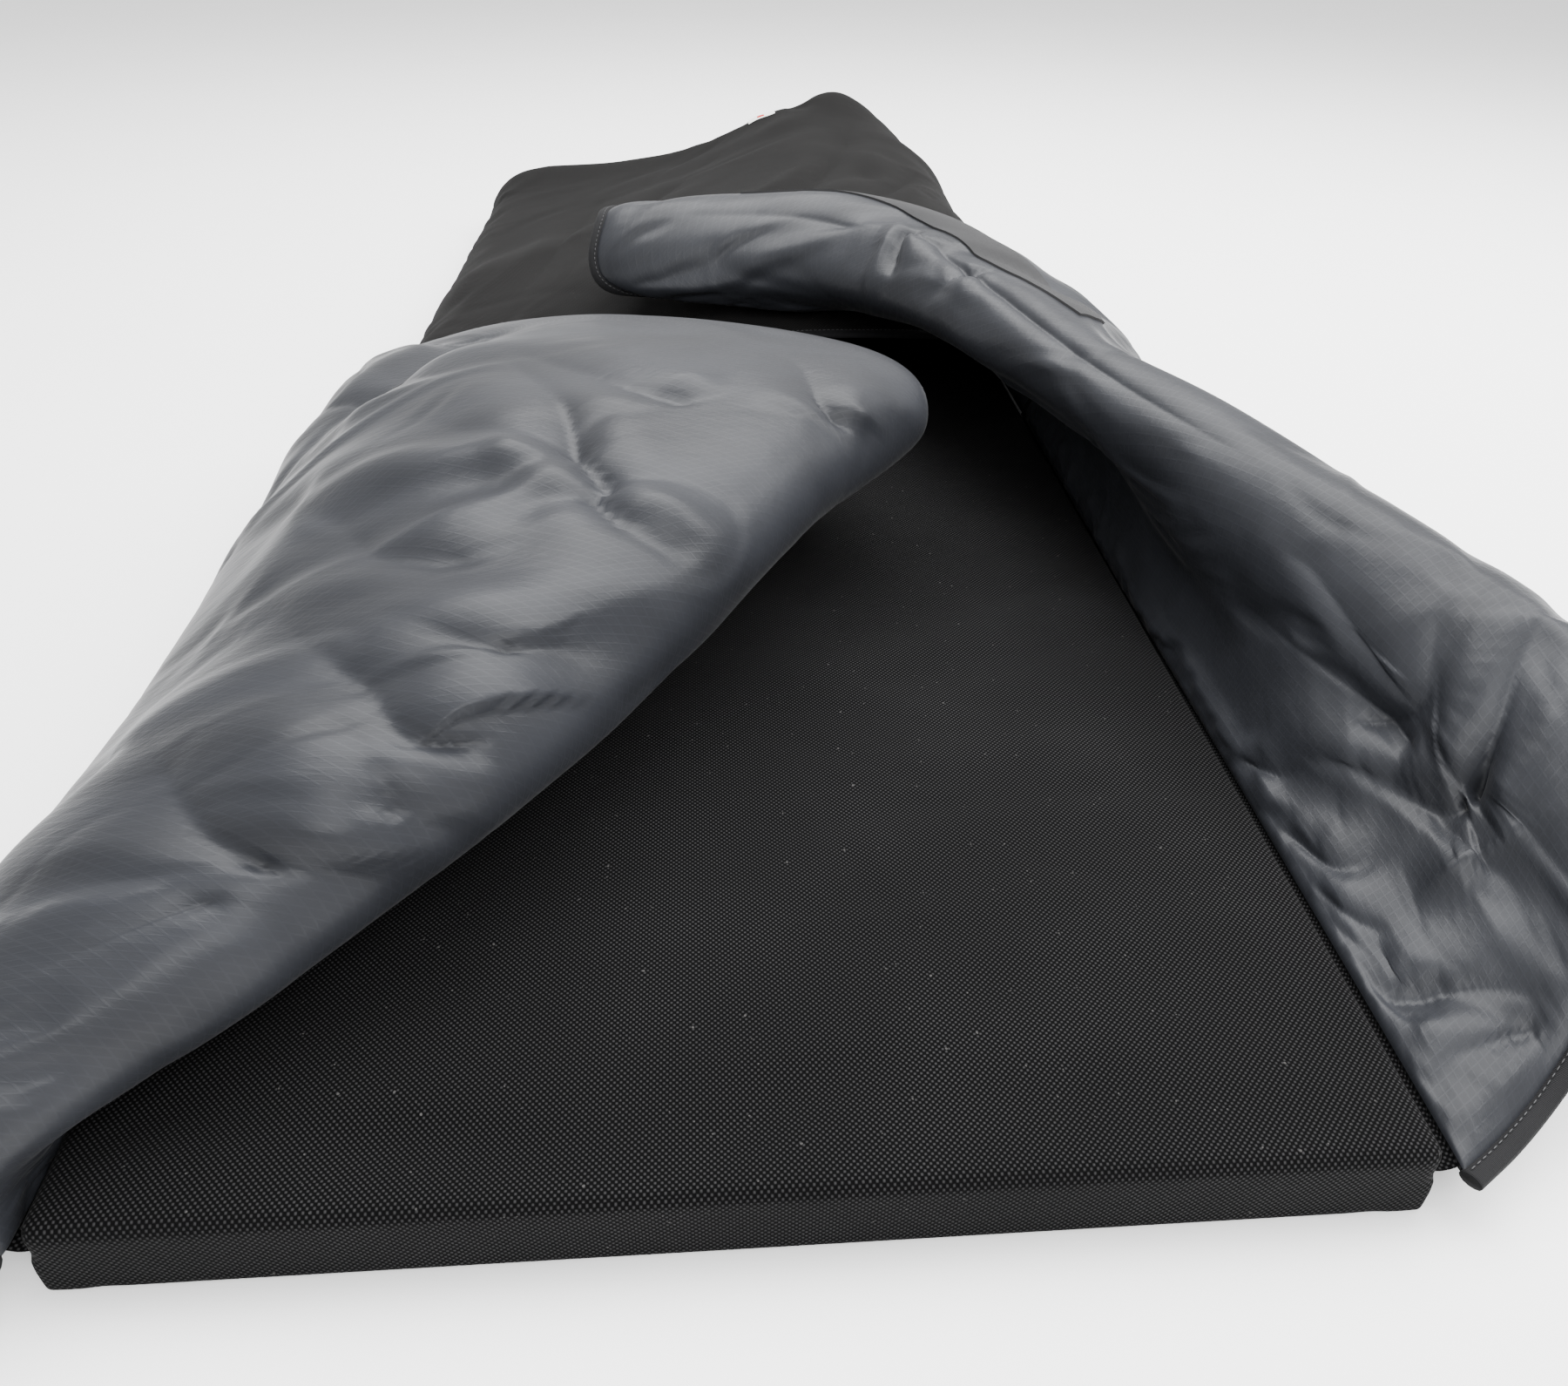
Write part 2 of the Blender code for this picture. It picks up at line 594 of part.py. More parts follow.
def build_mat():
    """The mat: its cover, padding, foil, heating film, sensors and wiring."""
    levels = mat_levels()
    cover = mat_cover("mat_bottom_cover", lower=True)
    mat_cover("mat_top_cover", lower=False)
    core = mat_layer("mat_foam_core", levels["foam"], foam(), bottom=0.004)
    mat_layer("mat_reflector_foil", levels["foil"], aluminium_foil(), inset=0.012)
    film_inset = 0.030
    mat_layer("mat_heater_film", levels["film"], carbon_film(), inset=film_inset)
    felt = mat_layer("mat_comfort_felt", levels["felt"], wadding(),
                     top_radius=MAT_EDGE_RADIUS - COVER - GAP)
    reach = MAT_LENGTH / 2 - film_inset - 0.020
    edge = HALF_WIDTH - film_inset - 0.012
    for label, side in (("left", -1), ("right", 1)):
        xs = sorted((side * edge, side * (edge - BUS_WIDTH)))
        low, high = levels["bus"]
        mesh = box_mesh("bar", (xs[0], -reach, low), (xs[1], reach, high))
        link("mat_bus_bar_" + label, mesh, copper())

    foot = Matrix.Translation((0.060, 0.200, levels["bus"][0]))
    link("mat_thermostat", disc_mesh("disc", THERMOSTAT_RADIUS, THERMOSTAT_HEIGHT, foot), metal_case())
    pocket = disc_mesh("pocket", THERMOSTAT_RADIUS + POCKET_CLEARANCE, 2 * THERMOSTAT_HEIGHT,
                       foot @ Matrix.Translation((0, 0, -THERMOSTAT_HEIGHT + POCKET_CLEARANCE)))
    subtract(felt, cutter("mat_thermostat_pocket", pocket))

    probe_z = levels["bus"][0] + PROBE_RADIUS
    probe_y = -0.100
    rod("mat_temperature_probe", (-0.020, probe_y, probe_z), (-0.020 + PROBE_LENGTH, probe_y, probe_z),
        PROBE_RADIUS, metal_case())
    room = POCKET_CLEARANCE
    slot = box_mesh("slot", (-0.020 - room, probe_y - PROBE_RADIUS - room, levels["bus"][0] - 0.002),
                    (-0.020 + PROBE_LENGTH + room, probe_y + PROBE_RADIUS + room,
                     probe_z + PROBE_RADIUS + room))
    subtract(felt, cutter("mat_probe_slot", slot))
    return cover, core, levels


def build_piping():
    """The cords along the seams. The flaps turn about the two long ones."""
    x = HALF_WIDTH + PIPING_OFFSET
    near, far = HEAD_Y + MAT_PLAN_RADIUS, MAT_LENGTH / 2 - PIPING_END
    for label, side in (("left", -1), ("right", 1)):
        rod("side_piping_" + label, (side * x, near, SEAM_HEIGHT), (side * x, far, SEAM_HEIGHT),
            PIPING_RADIUS, canvas(), 12)
    end_y = MAT_LENGTH / 2 + PIPING_OFFSET
    end_x = HALF_WIDTH - MAT_PLAN_RADIUS
    rod("foot_piping", (-end_x, end_y, SEAM_HEIGHT), (end_x, end_y, SEAM_HEIGHT),
        PIPING_RADIUS, canvas(), 12)


def build_inlet(cover, core, levels):
    """The power inlet below the left seam near the foot end, its pins and the harness behind it."""
    y = HEAD_Y + INLET_RUN
    middle = (SEAM_HEIGHT - PIPING_RADIUS) / 2
    low_z, high_z = middle - INLET_HEIGHT / 2, middle + INLET_HEIGHT / 2
    face = -HALF_WIDTH - INLET_FLANGE - GAP
    back = face + INLET_DEPTH
    half = INLET_WIDTH / 2
    body = link("power_inlet_housing", box_mesh("housing", (face, y - half, low_z + INLET_LIP / 2),
                                                (back, y + half, high_z - INLET_LIP / 2)),
                black_plastic())
    socket = box_mesh("socket", (face - 0.01, y - half + INLET_LIP, low_z + INLET_LIP),
                      (back - INLET_FLOOR, y + half - INLET_LIP, high_z - INLET_LIP))
    subtract(body, cutter("inlet_socket", socket))
    room = GAP
    hole = box_mesh("hole", (face - 0.01, y - half - room, low_z + INLET_LIP / 2 - room),
                    (back + room, y + half + room, high_z - INLET_LIP / 2 + room))
    opening = cutter("inlet_hole", hole)
    subtract(cover, opening)
    subtract(core, opening)
    flange = link("power_inlet_flange",
                  box_mesh("flange", (face, y - half - INLET_LIP, low_z),
                           (-HALF_WIDTH - GAP, y + half + INLET_LIP, high_z)), black_plastic())
    subtract(flange, opening)
    for index in (-1, 0, 1):
        pin_y = y + index * PIN_PITCH
        root_x = back - INLET_FLOOR - GAP
        rod(f"power_inlet_pin_{index + 2}", (root_x, pin_y, middle), (root_x - PIN_LENGTH, pin_y, middle),
            PIN_RADIUS, copper(), 8)

    start = back + GAP
    end = HALF_WIDTH - 0.060
    z = levels["foam"][1] - HARNESS_RADIUS - GAP
    run = [(start, y, middle), (start + 0.030, y, middle), (start + 0.060, y, z), (end, y, z)]
    points = run
    line = bpy.data.curves.new("mat_harness", "CURVE")
    line.dimensions = "3D"
    line.bevel_depth = HARNESS_RADIUS
    line.bevel_resolution = 2
    line.use_fill_caps = True
    path = line.splines.new("POLY")
    path.points.add(len(points) - 1)
    for spot, place in zip(path.points, points):
        spot.co = (*place, 1.0)
    harness = bpy.data.objects.new("mat_harness", line)
    bpy.context.scene.collection.objects.link(harness)
    line.materials.append(cable_jacket())
    groove = box_mesh("groove", (start - GAP, y - HARNESS_RADIUS - room, middle - HARNESS_RADIUS - room),
                      (end + 2 * HARNESS_RADIUS, y + HARNESS_RADIUS + room, levels["foam"][1] + room))
    subtract(core, cutter("harness_groove", groove))


def build_foot_cover():
    """The closed cover over the feet, sewn to the mat on three sides, with its label."""
    sheet = Sheet(foot_rows(), FOOT_COVER_STEPS, 1)
    body, bus_high = quilt("foot_cover", sheet, ("first_row",), (1, sheet.rows - 4),
                           (3, sheet.columns - 4))
    add_thermostat("foot_cover_thermostat", sheet, body, bus_high, 1, 5)
    place = sheet.facet(sheet.rows - 6, 6, sheet.level(from_shell=-GAP - LABEL_THICK / 2))
    half = Vector((LABEL_LENGTH / 2, LABEL_WIDTH / 2, LABEL_THICK / 2))
    mesh = box_mesh("patch", -half, half)
    mesh.transform(place)
    link("label_patch", mesh, label_cloth())


def main():
    """Clears the scene and builds every piece."""
    for obj in list(bpy.data.objects):
        bpy.data.objects.remove(obj)
    cover, core, levels = build_mat()
    build_piping()
    build_inlet(cover, core, levels)
    build_foot_cover()
    left = flap("left_flap", -1, LEFT_FLAP_NET, LEFT_FLAP_STEPS, ((1, 9), (2, 16)), (5, 5))
    right = flap("right_flap", 1, RIGHT_FLAP_NET, RIGHT_FLAP_STEPS, ((1, 11), (2, 14)), (6, 4))
    near_hem = (left.columns - 3, left.columns - 2)
    left.layer("left_flap_loop_tape", left.level(from_shell=-GAP),
               left.level(from_shell=-GAP - TAPE_THICK), tape(), (5, 9), near_hem)
    near_hem = (right.columns - 3, right.columns - 2)
    right.layer("right_flap_hook_tape", right.level(from_lining=-GAP - TAPE_THICK),
                right.level(from_lining=-GAP), tape(), (7, 11), near_hem)


main()
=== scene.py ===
"""Looks of an infrared sauna blanket: quilted flaps and foot cover, padded mat, seams and fittings.

Every length is in metres, in the row frame: X across the mat, Y from the head end to the foot end,
Z up, with the origin under the mat's centre.
"""

import logging
import math
from dataclasses import dataclass, field
from enum import Enum

import bmesh
import bpy
import numpy as np
from mathutils import Matrix, Vector
from mathutils.bvhtree import BVHTree


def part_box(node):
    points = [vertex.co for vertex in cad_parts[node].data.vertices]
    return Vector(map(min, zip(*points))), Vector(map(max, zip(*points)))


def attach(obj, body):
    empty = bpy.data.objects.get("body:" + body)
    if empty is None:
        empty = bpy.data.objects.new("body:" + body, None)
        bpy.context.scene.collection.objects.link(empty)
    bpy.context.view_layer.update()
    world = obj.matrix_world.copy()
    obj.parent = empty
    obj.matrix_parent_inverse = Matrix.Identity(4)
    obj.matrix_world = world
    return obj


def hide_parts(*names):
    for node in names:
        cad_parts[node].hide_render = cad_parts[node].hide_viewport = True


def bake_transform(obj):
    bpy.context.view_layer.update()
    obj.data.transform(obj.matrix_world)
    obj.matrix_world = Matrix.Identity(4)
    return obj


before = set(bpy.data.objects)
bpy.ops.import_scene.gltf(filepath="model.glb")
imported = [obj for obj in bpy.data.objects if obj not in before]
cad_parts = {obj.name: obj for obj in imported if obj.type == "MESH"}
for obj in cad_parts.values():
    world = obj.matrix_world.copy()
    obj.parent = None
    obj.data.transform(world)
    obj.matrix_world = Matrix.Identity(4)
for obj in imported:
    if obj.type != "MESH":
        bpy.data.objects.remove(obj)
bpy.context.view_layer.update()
log = logging.getLogger("sauna_blanket")

Row = tuple[tuple[float, float, float], ...]
Spot = tuple[float, float]

MAT_WIDTH = 0.650
MAT_LENGTH = 1.800
MAT_HEIGHT = 0.048
SEAM_HEIGHT = 0.030
ROOT = MAT_WIDTH / 2 + 0.0104      # middle of a flap's sewn edge, out from the mat's centre line
HEAD_Y = -MAT_LENGTH / 2
UV_NAME = "cloth"


# ------------------------------------------------------------------------------ shader maths
class Sock:
    """A shader socket that adds Math nodes when it is used in an expression."""

    def __init__(self, shader: "Shader", socket: bpy.types.NodeSocket) -> None:
        """Wraps a socket of a shader's node tree."""
        self.shader = shader
        self.socket = socket

    def math(self, operation: str, *others: "Sock | float") -> "Sock":
        """Adds one Math node.

        Args:
            operation: the Math node's operation.
            others: its second and third inputs.

        Returns:
            The node's output.
        """
        return self.shader.node("ShaderNodeMath", {"operation": operation}, [self, *others])

    def __add__(self, other: "Sock | float") -> "Sock":
        """Sum."""
        return self.math("ADD", other)

    __radd__ = __add__

    def __sub__(self, other: "Sock | float") -> "Sock":
        """Difference."""
        return self.math("SUBTRACT", other)

    def __rsub__(self, other: float) -> "Sock":
        """Difference from a number."""
        return (self * -1.0) + other

    def __mul__(self, other: "Sock | float") -> "Sock":
        """Product."""
        return self.math("MULTIPLY", other)

    __rmul__ = __mul__

    def wave(self, period: float) -> "Sock":
        """A sine that changes sign every period."""
        return (self * (math.pi / period)).math("SINE")

    def rising(self, low: float, high: float) -> "Sock":
        """A smooth rise from 0 at low to 1 at high."""
        return self.shader.node("ShaderNodeMapRange", {"interpolation_type": "SMOOTHSTEP"},
                                {"Value": self, "From Min": low, "From Max": high})


class Coords(Enum):
    """Which coordinates a pattern follows: the object's, or the piece's own cloth UV in metres."""

    CLOTH = "cloth"
    OBJECT = "object"


class Shader:
    """A material under construction."""

    def __init__(self, name: str) -> None:
        """Starts an empty node material with a Principled shader."""
        self.material = bpy.data.materials.new(name)
        self.material.use_nodes = True
        self.tree = self.material.node_tree
        self.surface = self.tree.nodes["Principled BSDF"]

    def node(self, kind: str, settings: dict | None = None, sockets: dict | list | None = None,
             output: str | int = 0) -> Sock:
        """Adds any node.

        Args:
            kind: the node's type.
            settings: its properties, set first.
            sockets: values or links of its inputs, by name or in order.
            output: which output to return.

        Returns:
            The chosen output.
        """
        made = self.tree.nodes.new(kind)
        for key, value in (settings or {}).items():
            setattr(made, key, value)
        pairs = sockets.items() if isinstance(sockets, dict) else enumerate(sockets or [])
        for key, value in pairs:
            self.feed(made.inputs[key], value)
        return Sock(self, made.outputs[output])

    def feed(self, target: bpy.types.NodeSocket, value: "Sock | float | tuple") -> None:
        """Links or sets one input."""
        if isinstance(value, Sock):
            self.tree.links.new(value.socket, target)
        else:
            target.default_value = value

    def set(self, **values: "Sock | float | tuple") -> None:
        """Feeds the surface shader's inputs, underscores standing for spaces."""
        for key, value in values.items():
            self.feed(self.surface.inputs[key.replace("_", " ")], value)

    def coordinates(self, kind: Coords) -> Sock:
        """A pattern's coordinates."""
        if kind is Coords.OBJECT:
            return self.node("ShaderNodeTexCoord", output="Object")
        return self.node("ShaderNodeUVMap", {"uv_map": UV_NAME})

    def split(self, vector: Sock) -> tuple[Sock, Sock, Sock]:
        """The three parts of a vector."""
        made = self.tree.nodes.new("ShaderNodeSeparateXYZ")
        self.feed(made.inputs[0], vector)
        return Sock(self, made.outputs[0]), Sock(self, made.outputs[1]), Sock(self, made.outputs[2])

    def noise(self, vector: Sock, scale: float, detail: float = 2.0, rough: float = 0.5) -> Sock:
        """Smooth noise from 0 to 1."""
        return self.node("ShaderNodeTexNoise", {"noise_dimensions": "3D"},
                         {"Vector": vector, "Scale": scale, "Detail": detail, "Roughness": rough})

    def blend(self, factor: Sock, low: tuple, high: tuple) -> Sock:
        """Mixes two colours."""
        return self.node("ShaderNodeMix", {"data_type": "RGBA"},
                         {0: factor, 6: (*low, 1.0), 7: (*high, 1.0)}, 2)

    def tint(self, colour: Sock, factor: Sock, high: tuple) -> Sock:
        """Mixes a colour towards a fixed one."""
        return self.node("ShaderNodeMix", {"data_type": "RGBA"},
                         {0: factor, 6: colour, 7: (*high, 1.0)}, 2)

    def bump(self, height: Sock, distance: float, strength: float = 1.0,
             under: Sock | None = None) -> Sock:
        """A bump of a height in 0..1, over another normal if one is given."""
        sockets: dict = {"Height": height, "Distance": distance, "Strength": strength}
        if under:
            sockets["Normal"] = under
        return self.node("ShaderNodeBump", None, sockets)


# ------------------------------------------------------------------------------ finishes
@dataclass(frozen=True)
class WovenCanvas:
    """Plain-woven polyester canvas: the black cover of the blanket."""

    name: str
    low: tuple[float, float, float] = (0.0008, 0.0008, 0.0009)
    high: tuple[float, float, float] = (0.0245, 0.0242, 0.0249)
    thread: float = 0.0016
    relief: float = 0.00035

    def build(self) -> bpy.types.Material:
        """Makes the material."""
        s = Shader(self.name)
        place = s.coordinates(Coords.CLOTH)
        x, y, _ = s.split(place)
        soft = s.noise(place, 9.0, 3.0)
        slub = s.noise(place, 620.0, 1.0)
        weave = x.wave(self.thread) * y.wave(self.thread) * 0.5 + 0.5
        lit = weave.rising(0.45, 1.00) * (slub * 0.5 + 0.75)
        worn = soft.rising(0.35, 0.85)
        dust = s.noise(place, 340.0, 0.0).rising(0.845, 0.87)
        cloth = s.blend(lit * (worn * 0.30 + 0.80), self.low, self.high)
        cloth = s.tint(cloth, dust * 0.22, (0.16, 0.155, 0.15))
        ripple = s.noise(place, 34.0, 3.0, 0.6)
        normal = s.bump(ripple, 0.0016, 0.5)
        normal = s.bump(weave, self.relief, 0.9, normal)
        s.set(Base_Color=cloth, Roughness=0.95 - weave * 0.12, Normal=normal)
        s.set(Sheen_Weight=0.01, Sheen_Roughness=0.45, Specular_IOR_Level=0.055)
        return s.material


@dataclass(frozen=True)
class RipstopNylon:
    """Calendered nylon lining with a grid of heavier threads and a satin face."""

    name: str
    colour: tuple[float, float, float] = (0.0155, 0.0165, 0.0196)
    grid: float = 0.0052
    line: float = 0.00055

    def build(self) -> bpy.types.Material:
        """Makes the material."""
        s = Shader(self.name)
        place = s.coordinates(Coords.CLOTH)
        x, y, _ = s.split(place)
        across = x.wave(self.grid).math("ABSOLUTE")
        along = y.wave(self.grid).math("ABSOLUTE")
        edge = math.sin(math.pi * self.line / 2 / self.grid)
        rib = (1 - across.math("MINIMUM", along).rising(edge, edge * 2.2))
        fine = x.wave(0.00042) * y.wave(0.00042) * 0.5 + 0.5
        cloudy = s.noise(place, 11.0, 3.0)
        crinkle = s.noise(place, 75.0, 4.0, 0.55)
        dry = s.noise(place, 26.0, 2.0)
        dark = tuple(c * 0.82 for c in self.colour)
        light = tuple(c * 1.18 for c in self.colour)
        cloth = s.blend(cloudy.rising(0.3, 0.75), dark, light)
        cloth = s.tint(cloth, rib * 0.12, tuple(c * 1.9 for c in self.colour))
        normal = s.bump(crinkle, 0.0022, 0.22)
        normal = s.bump(rib * 0.8 + fine * 0.2, 0.00006, 0.6, normal)
        s.set(Base_Color=cloth, Roughness=dry * 0.12 + 0.37 - rib * 0.05, Normal=normal)
        s.set(Sheen_Weight=0.03, Sheen_Roughness=0.30, Specular_IOR_Level=0.175)
        return s.material


@dataclass(frozen=True)
class Webbing:
    """Ribbed woven tape for bindings and pipings. Its ribs run across its length."""

    name: str
    colour: tuple[float, float, float] = (0.0035, 0.0035, 0.0038)
    rib: float = 0.0009

    def build(self) -> bpy.types.Material:
        """Makes the material."""
        s = Shader(self.name)
        place = s.coordinates(Coords.CLOTH)
        run, _, _ = s.split(place)
        ribs = run.wave(self.rib).math("ABSOLUTE")
        worn = s.noise(place, 42.0, 3.0)
        cloth = s.blend(ribs * (worn * 0.5 + 0.6), self.colour, tuple(c * 3.4 for c in self.colour))
        normal = s.bump(ribs, 0.00022, 0.8)
        s.set(Base_Color=cloth, Roughness=0.86 - ribs * 0.14, Normal=normal)
        s.set(Sheen_Weight=0.02, Sheen_Roughness=0.5, Specular_IOR_Level=0.11)
        return s.material


@dataclass(frozen=True)
class Mottled:
    """Any plain solid stuff: its colour, gloss and fine surface vary a little over it."""

    name: str
    colour: tuple[float, float, float]
    roughness: float = 0.5
    metallic: float = 0.0
    grain: float = 220.0
    relief: float = 0.0002
    spread: float = 0.25

    def build(self) -> bpy.types.Material:
        """Makes the material."""
        s = Shader(self.name)
        place = s.coordinates(Coords.OBJECT)
        broad = s.noise(place, self.grain / 12, 3.0)
        fine = s.noise(place, self.grain, 4.0, 0.6)
        low = tuple(c * (1 - self.spread) for c in self.colour)
        high = tuple(min(c * (1 + self.spread), 1.0) for c in self.colour)
        s.set(Base_Color=s.blend(broad * 0.6 + fine * 0.4, low, high),
              Roughness=fine * 0.18 + (self.roughness - 0.09),
              Normal=s.bump(fine, self.relief, 0.7))
        s.set(Metallic=self.metallic)
        return s.material


class Palette:
    """Every finish of the blanket, each made once."""

    def __init__(self) -> None:
        """Makes the finishes."""
        self.mat_canvas = WovenCanvas("mat_canvas").build()
        self.flap_canvas = WovenCanvas("flap_canvas").build()
        self.foot_canvas = WovenCanvas("foot_canvas", (0.0040, 0.0039, 0.0039),
                                       (0.0170, 0.0166, 0.0163), relief=0.0003).build()
        self.lining = RipstopNylon("slate_ripstop").build()
        self.binding = Webbing("binding_tape").build()
        self.thread = Mottled("sewing_thread", (0.030, 0.030, 0.032), 0.6, grain=900.0).build()
        self.label = WovenCanvas("label_cloth", (0.62, 0.62, 0.60), (0.90, 0.90, 0.89),
                                 0.0006, relief=0.00012).build()
        self.patch = WovenCanvas("label_patch_red", (0.38, 0.012, 0.012), (0.62, 0.03, 0.028),
                                 0.0006, relief=0.00012).build()
        self.hook = Mottled("hook_and_loop", (0.016, 0.016, 0.017), 0.95, grain=1500.0,
                            relief=0.0012).build()
        self.plastic = Mottled("moulded_plastic", (0.014, 0.014, 0.015), 0.46, grain=900.0).build()
        self.copper = Mottled("copper", (0.72, 0.42, 0.26), 0.32, 1.0).build()
        self.nickel = Mottled("nickel", (0.62, 0.61, 0.58), 0.28, 1.0).build()
        self.foil = Mottled("reflector_foil", (0.80, 0.80, 0.81), 0.26, 1.0, 60.0, 0.001).build()
        self.foam = Mottled("open_foam", (0.30, 0.30, 0.31), 0.95, grain=700.0, relief=0.0012).build()
        self.wool = Mottled("fibre_wadding", (0.78, 0.77, 0.74), 0.95, grain=160.0,
                            relief=0.003).build()
        self.carbon = Mottled("carbon_film", (0.024, 0.024, 0.026), 0.5, grain=90.0).build()
        self.jacket = Mottled("silicone_jacket", (0.45, 0.05, 0.045), 0.45).build()


# ------------------------------------------------------------------------------ draped surfaces
def catmull(points: np.ndarray, at: np.ndarray) -> np.ndarray:
    """Reads a Catmull-Rom spline.

    Args:
        points: control values, the first axis along the spline.
        at: parameters, one per step between control values.

    Returns:
        The spline's values at those parameters.
    """
    points = np.asarray(points, float)
    held = np.concatenate((2 * points[:1] - points[1:2], points, 2 * points[-1:] - points[-2:-1]))
    span = np.minimum(at.astype(int), len(points) - 2)
    t = (at - span).reshape((-1,) + (1,) * (points.ndim - 1))
    a, b, c, d = (held[span + k] for k in range(4))
    return 0.5 * (2 * b + (c - a) * t + (2 * a - 5 * b + 4 * c - d) * t ** 2
                  + (3 * b - a - 3 * c + d) * t ** 3)


@dataclass(frozen=True)
class Fold:
    """A crease that runs out from a pinch: a sharp valley that fades between two swells."""

    path: tuple[Spot, ...]
    depth: float
    width: float
    swell: float = 0.0
    lean: float = 0.0
    spread: float = 1.4
    both: bool = False

    TAUT = 0.8                       # the cloth draws every crease a little narrower than named
    VALLEY = (1.1, 0.62)             # the valley's share of the depth, and of the width
    SWELL = (0.85, 2.0, 1.5)         # the swells' share of the swell, their place and their width

    def relief(self, flat: np.ndarray, line: np.ndarray) -> np.ndarray:
        """The crease's height at flat places.

        Args:
            flat: places, two numbers each.
            line: the crease's path, in the same flat coordinates.

        Returns:
            Height at each place.
        """
        found = np.zeros(len(flat))
        reach = self.width * (1 + self.spread) * 6
        low, high = line.min(0) - reach, line.max(0) + reach
        near = np.flatnonzero(((flat > low) & (flat < high)).all(1))
        here = flat[near]
        best = np.full(len(here), 1e9)
        side, share = np.zeros(len(here)), np.zeros(len(here))
        for k, (start, end) in enumerate(zip(line[:-1], line[1:])):
            run = end - start
            long = max(float(run @ run), 1e-12)
            rel = here - start
            t = np.clip(rel @ run / long, 0, 1)
            off = rel - t[:, None] * run
            dist = np.hypot(off[:, 0], off[:, 1])
            closer = dist < best
            best = np.where(closer, dist, best)
            side = np.where(closer, np.sign(run[0] * off[:, 1] - run[1] * off[:, 0]), side)
            share = np.where(closer, (k + t) / (len(line) - 1), share)
        wide = self.TAUT * self.width * (1 + self.spread * (np.abs(2 * share - 1) if self.both else share))
        if self.both:
            fade = 1 - np.abs(2 * share - 1) ** 2.2
        else:
            fade = np.clip(share / 0.10, 0, 1) * (1 - share) ** 0.8
        signed = best * side
        valley = self.VALLEY[0] * self.depth * np.exp(-best / (self.VALLEY[1] * wide))
        grown = 1.0 if self.both else np.clip((share - 0.03) / 0.32, 0, 1)
        share, place, girth = self.SWELL
        right = np.exp(-((signed - place * wide) / (girth * wide)) ** 2) * (1 + self.lean)
        left = np.exp(-((signed + place * wide) / (girth * wide)) ** 2) * (1 - self.lean)
        found[near] = fade * (share * self.swell * grown * (left + right) - valley)
        return found


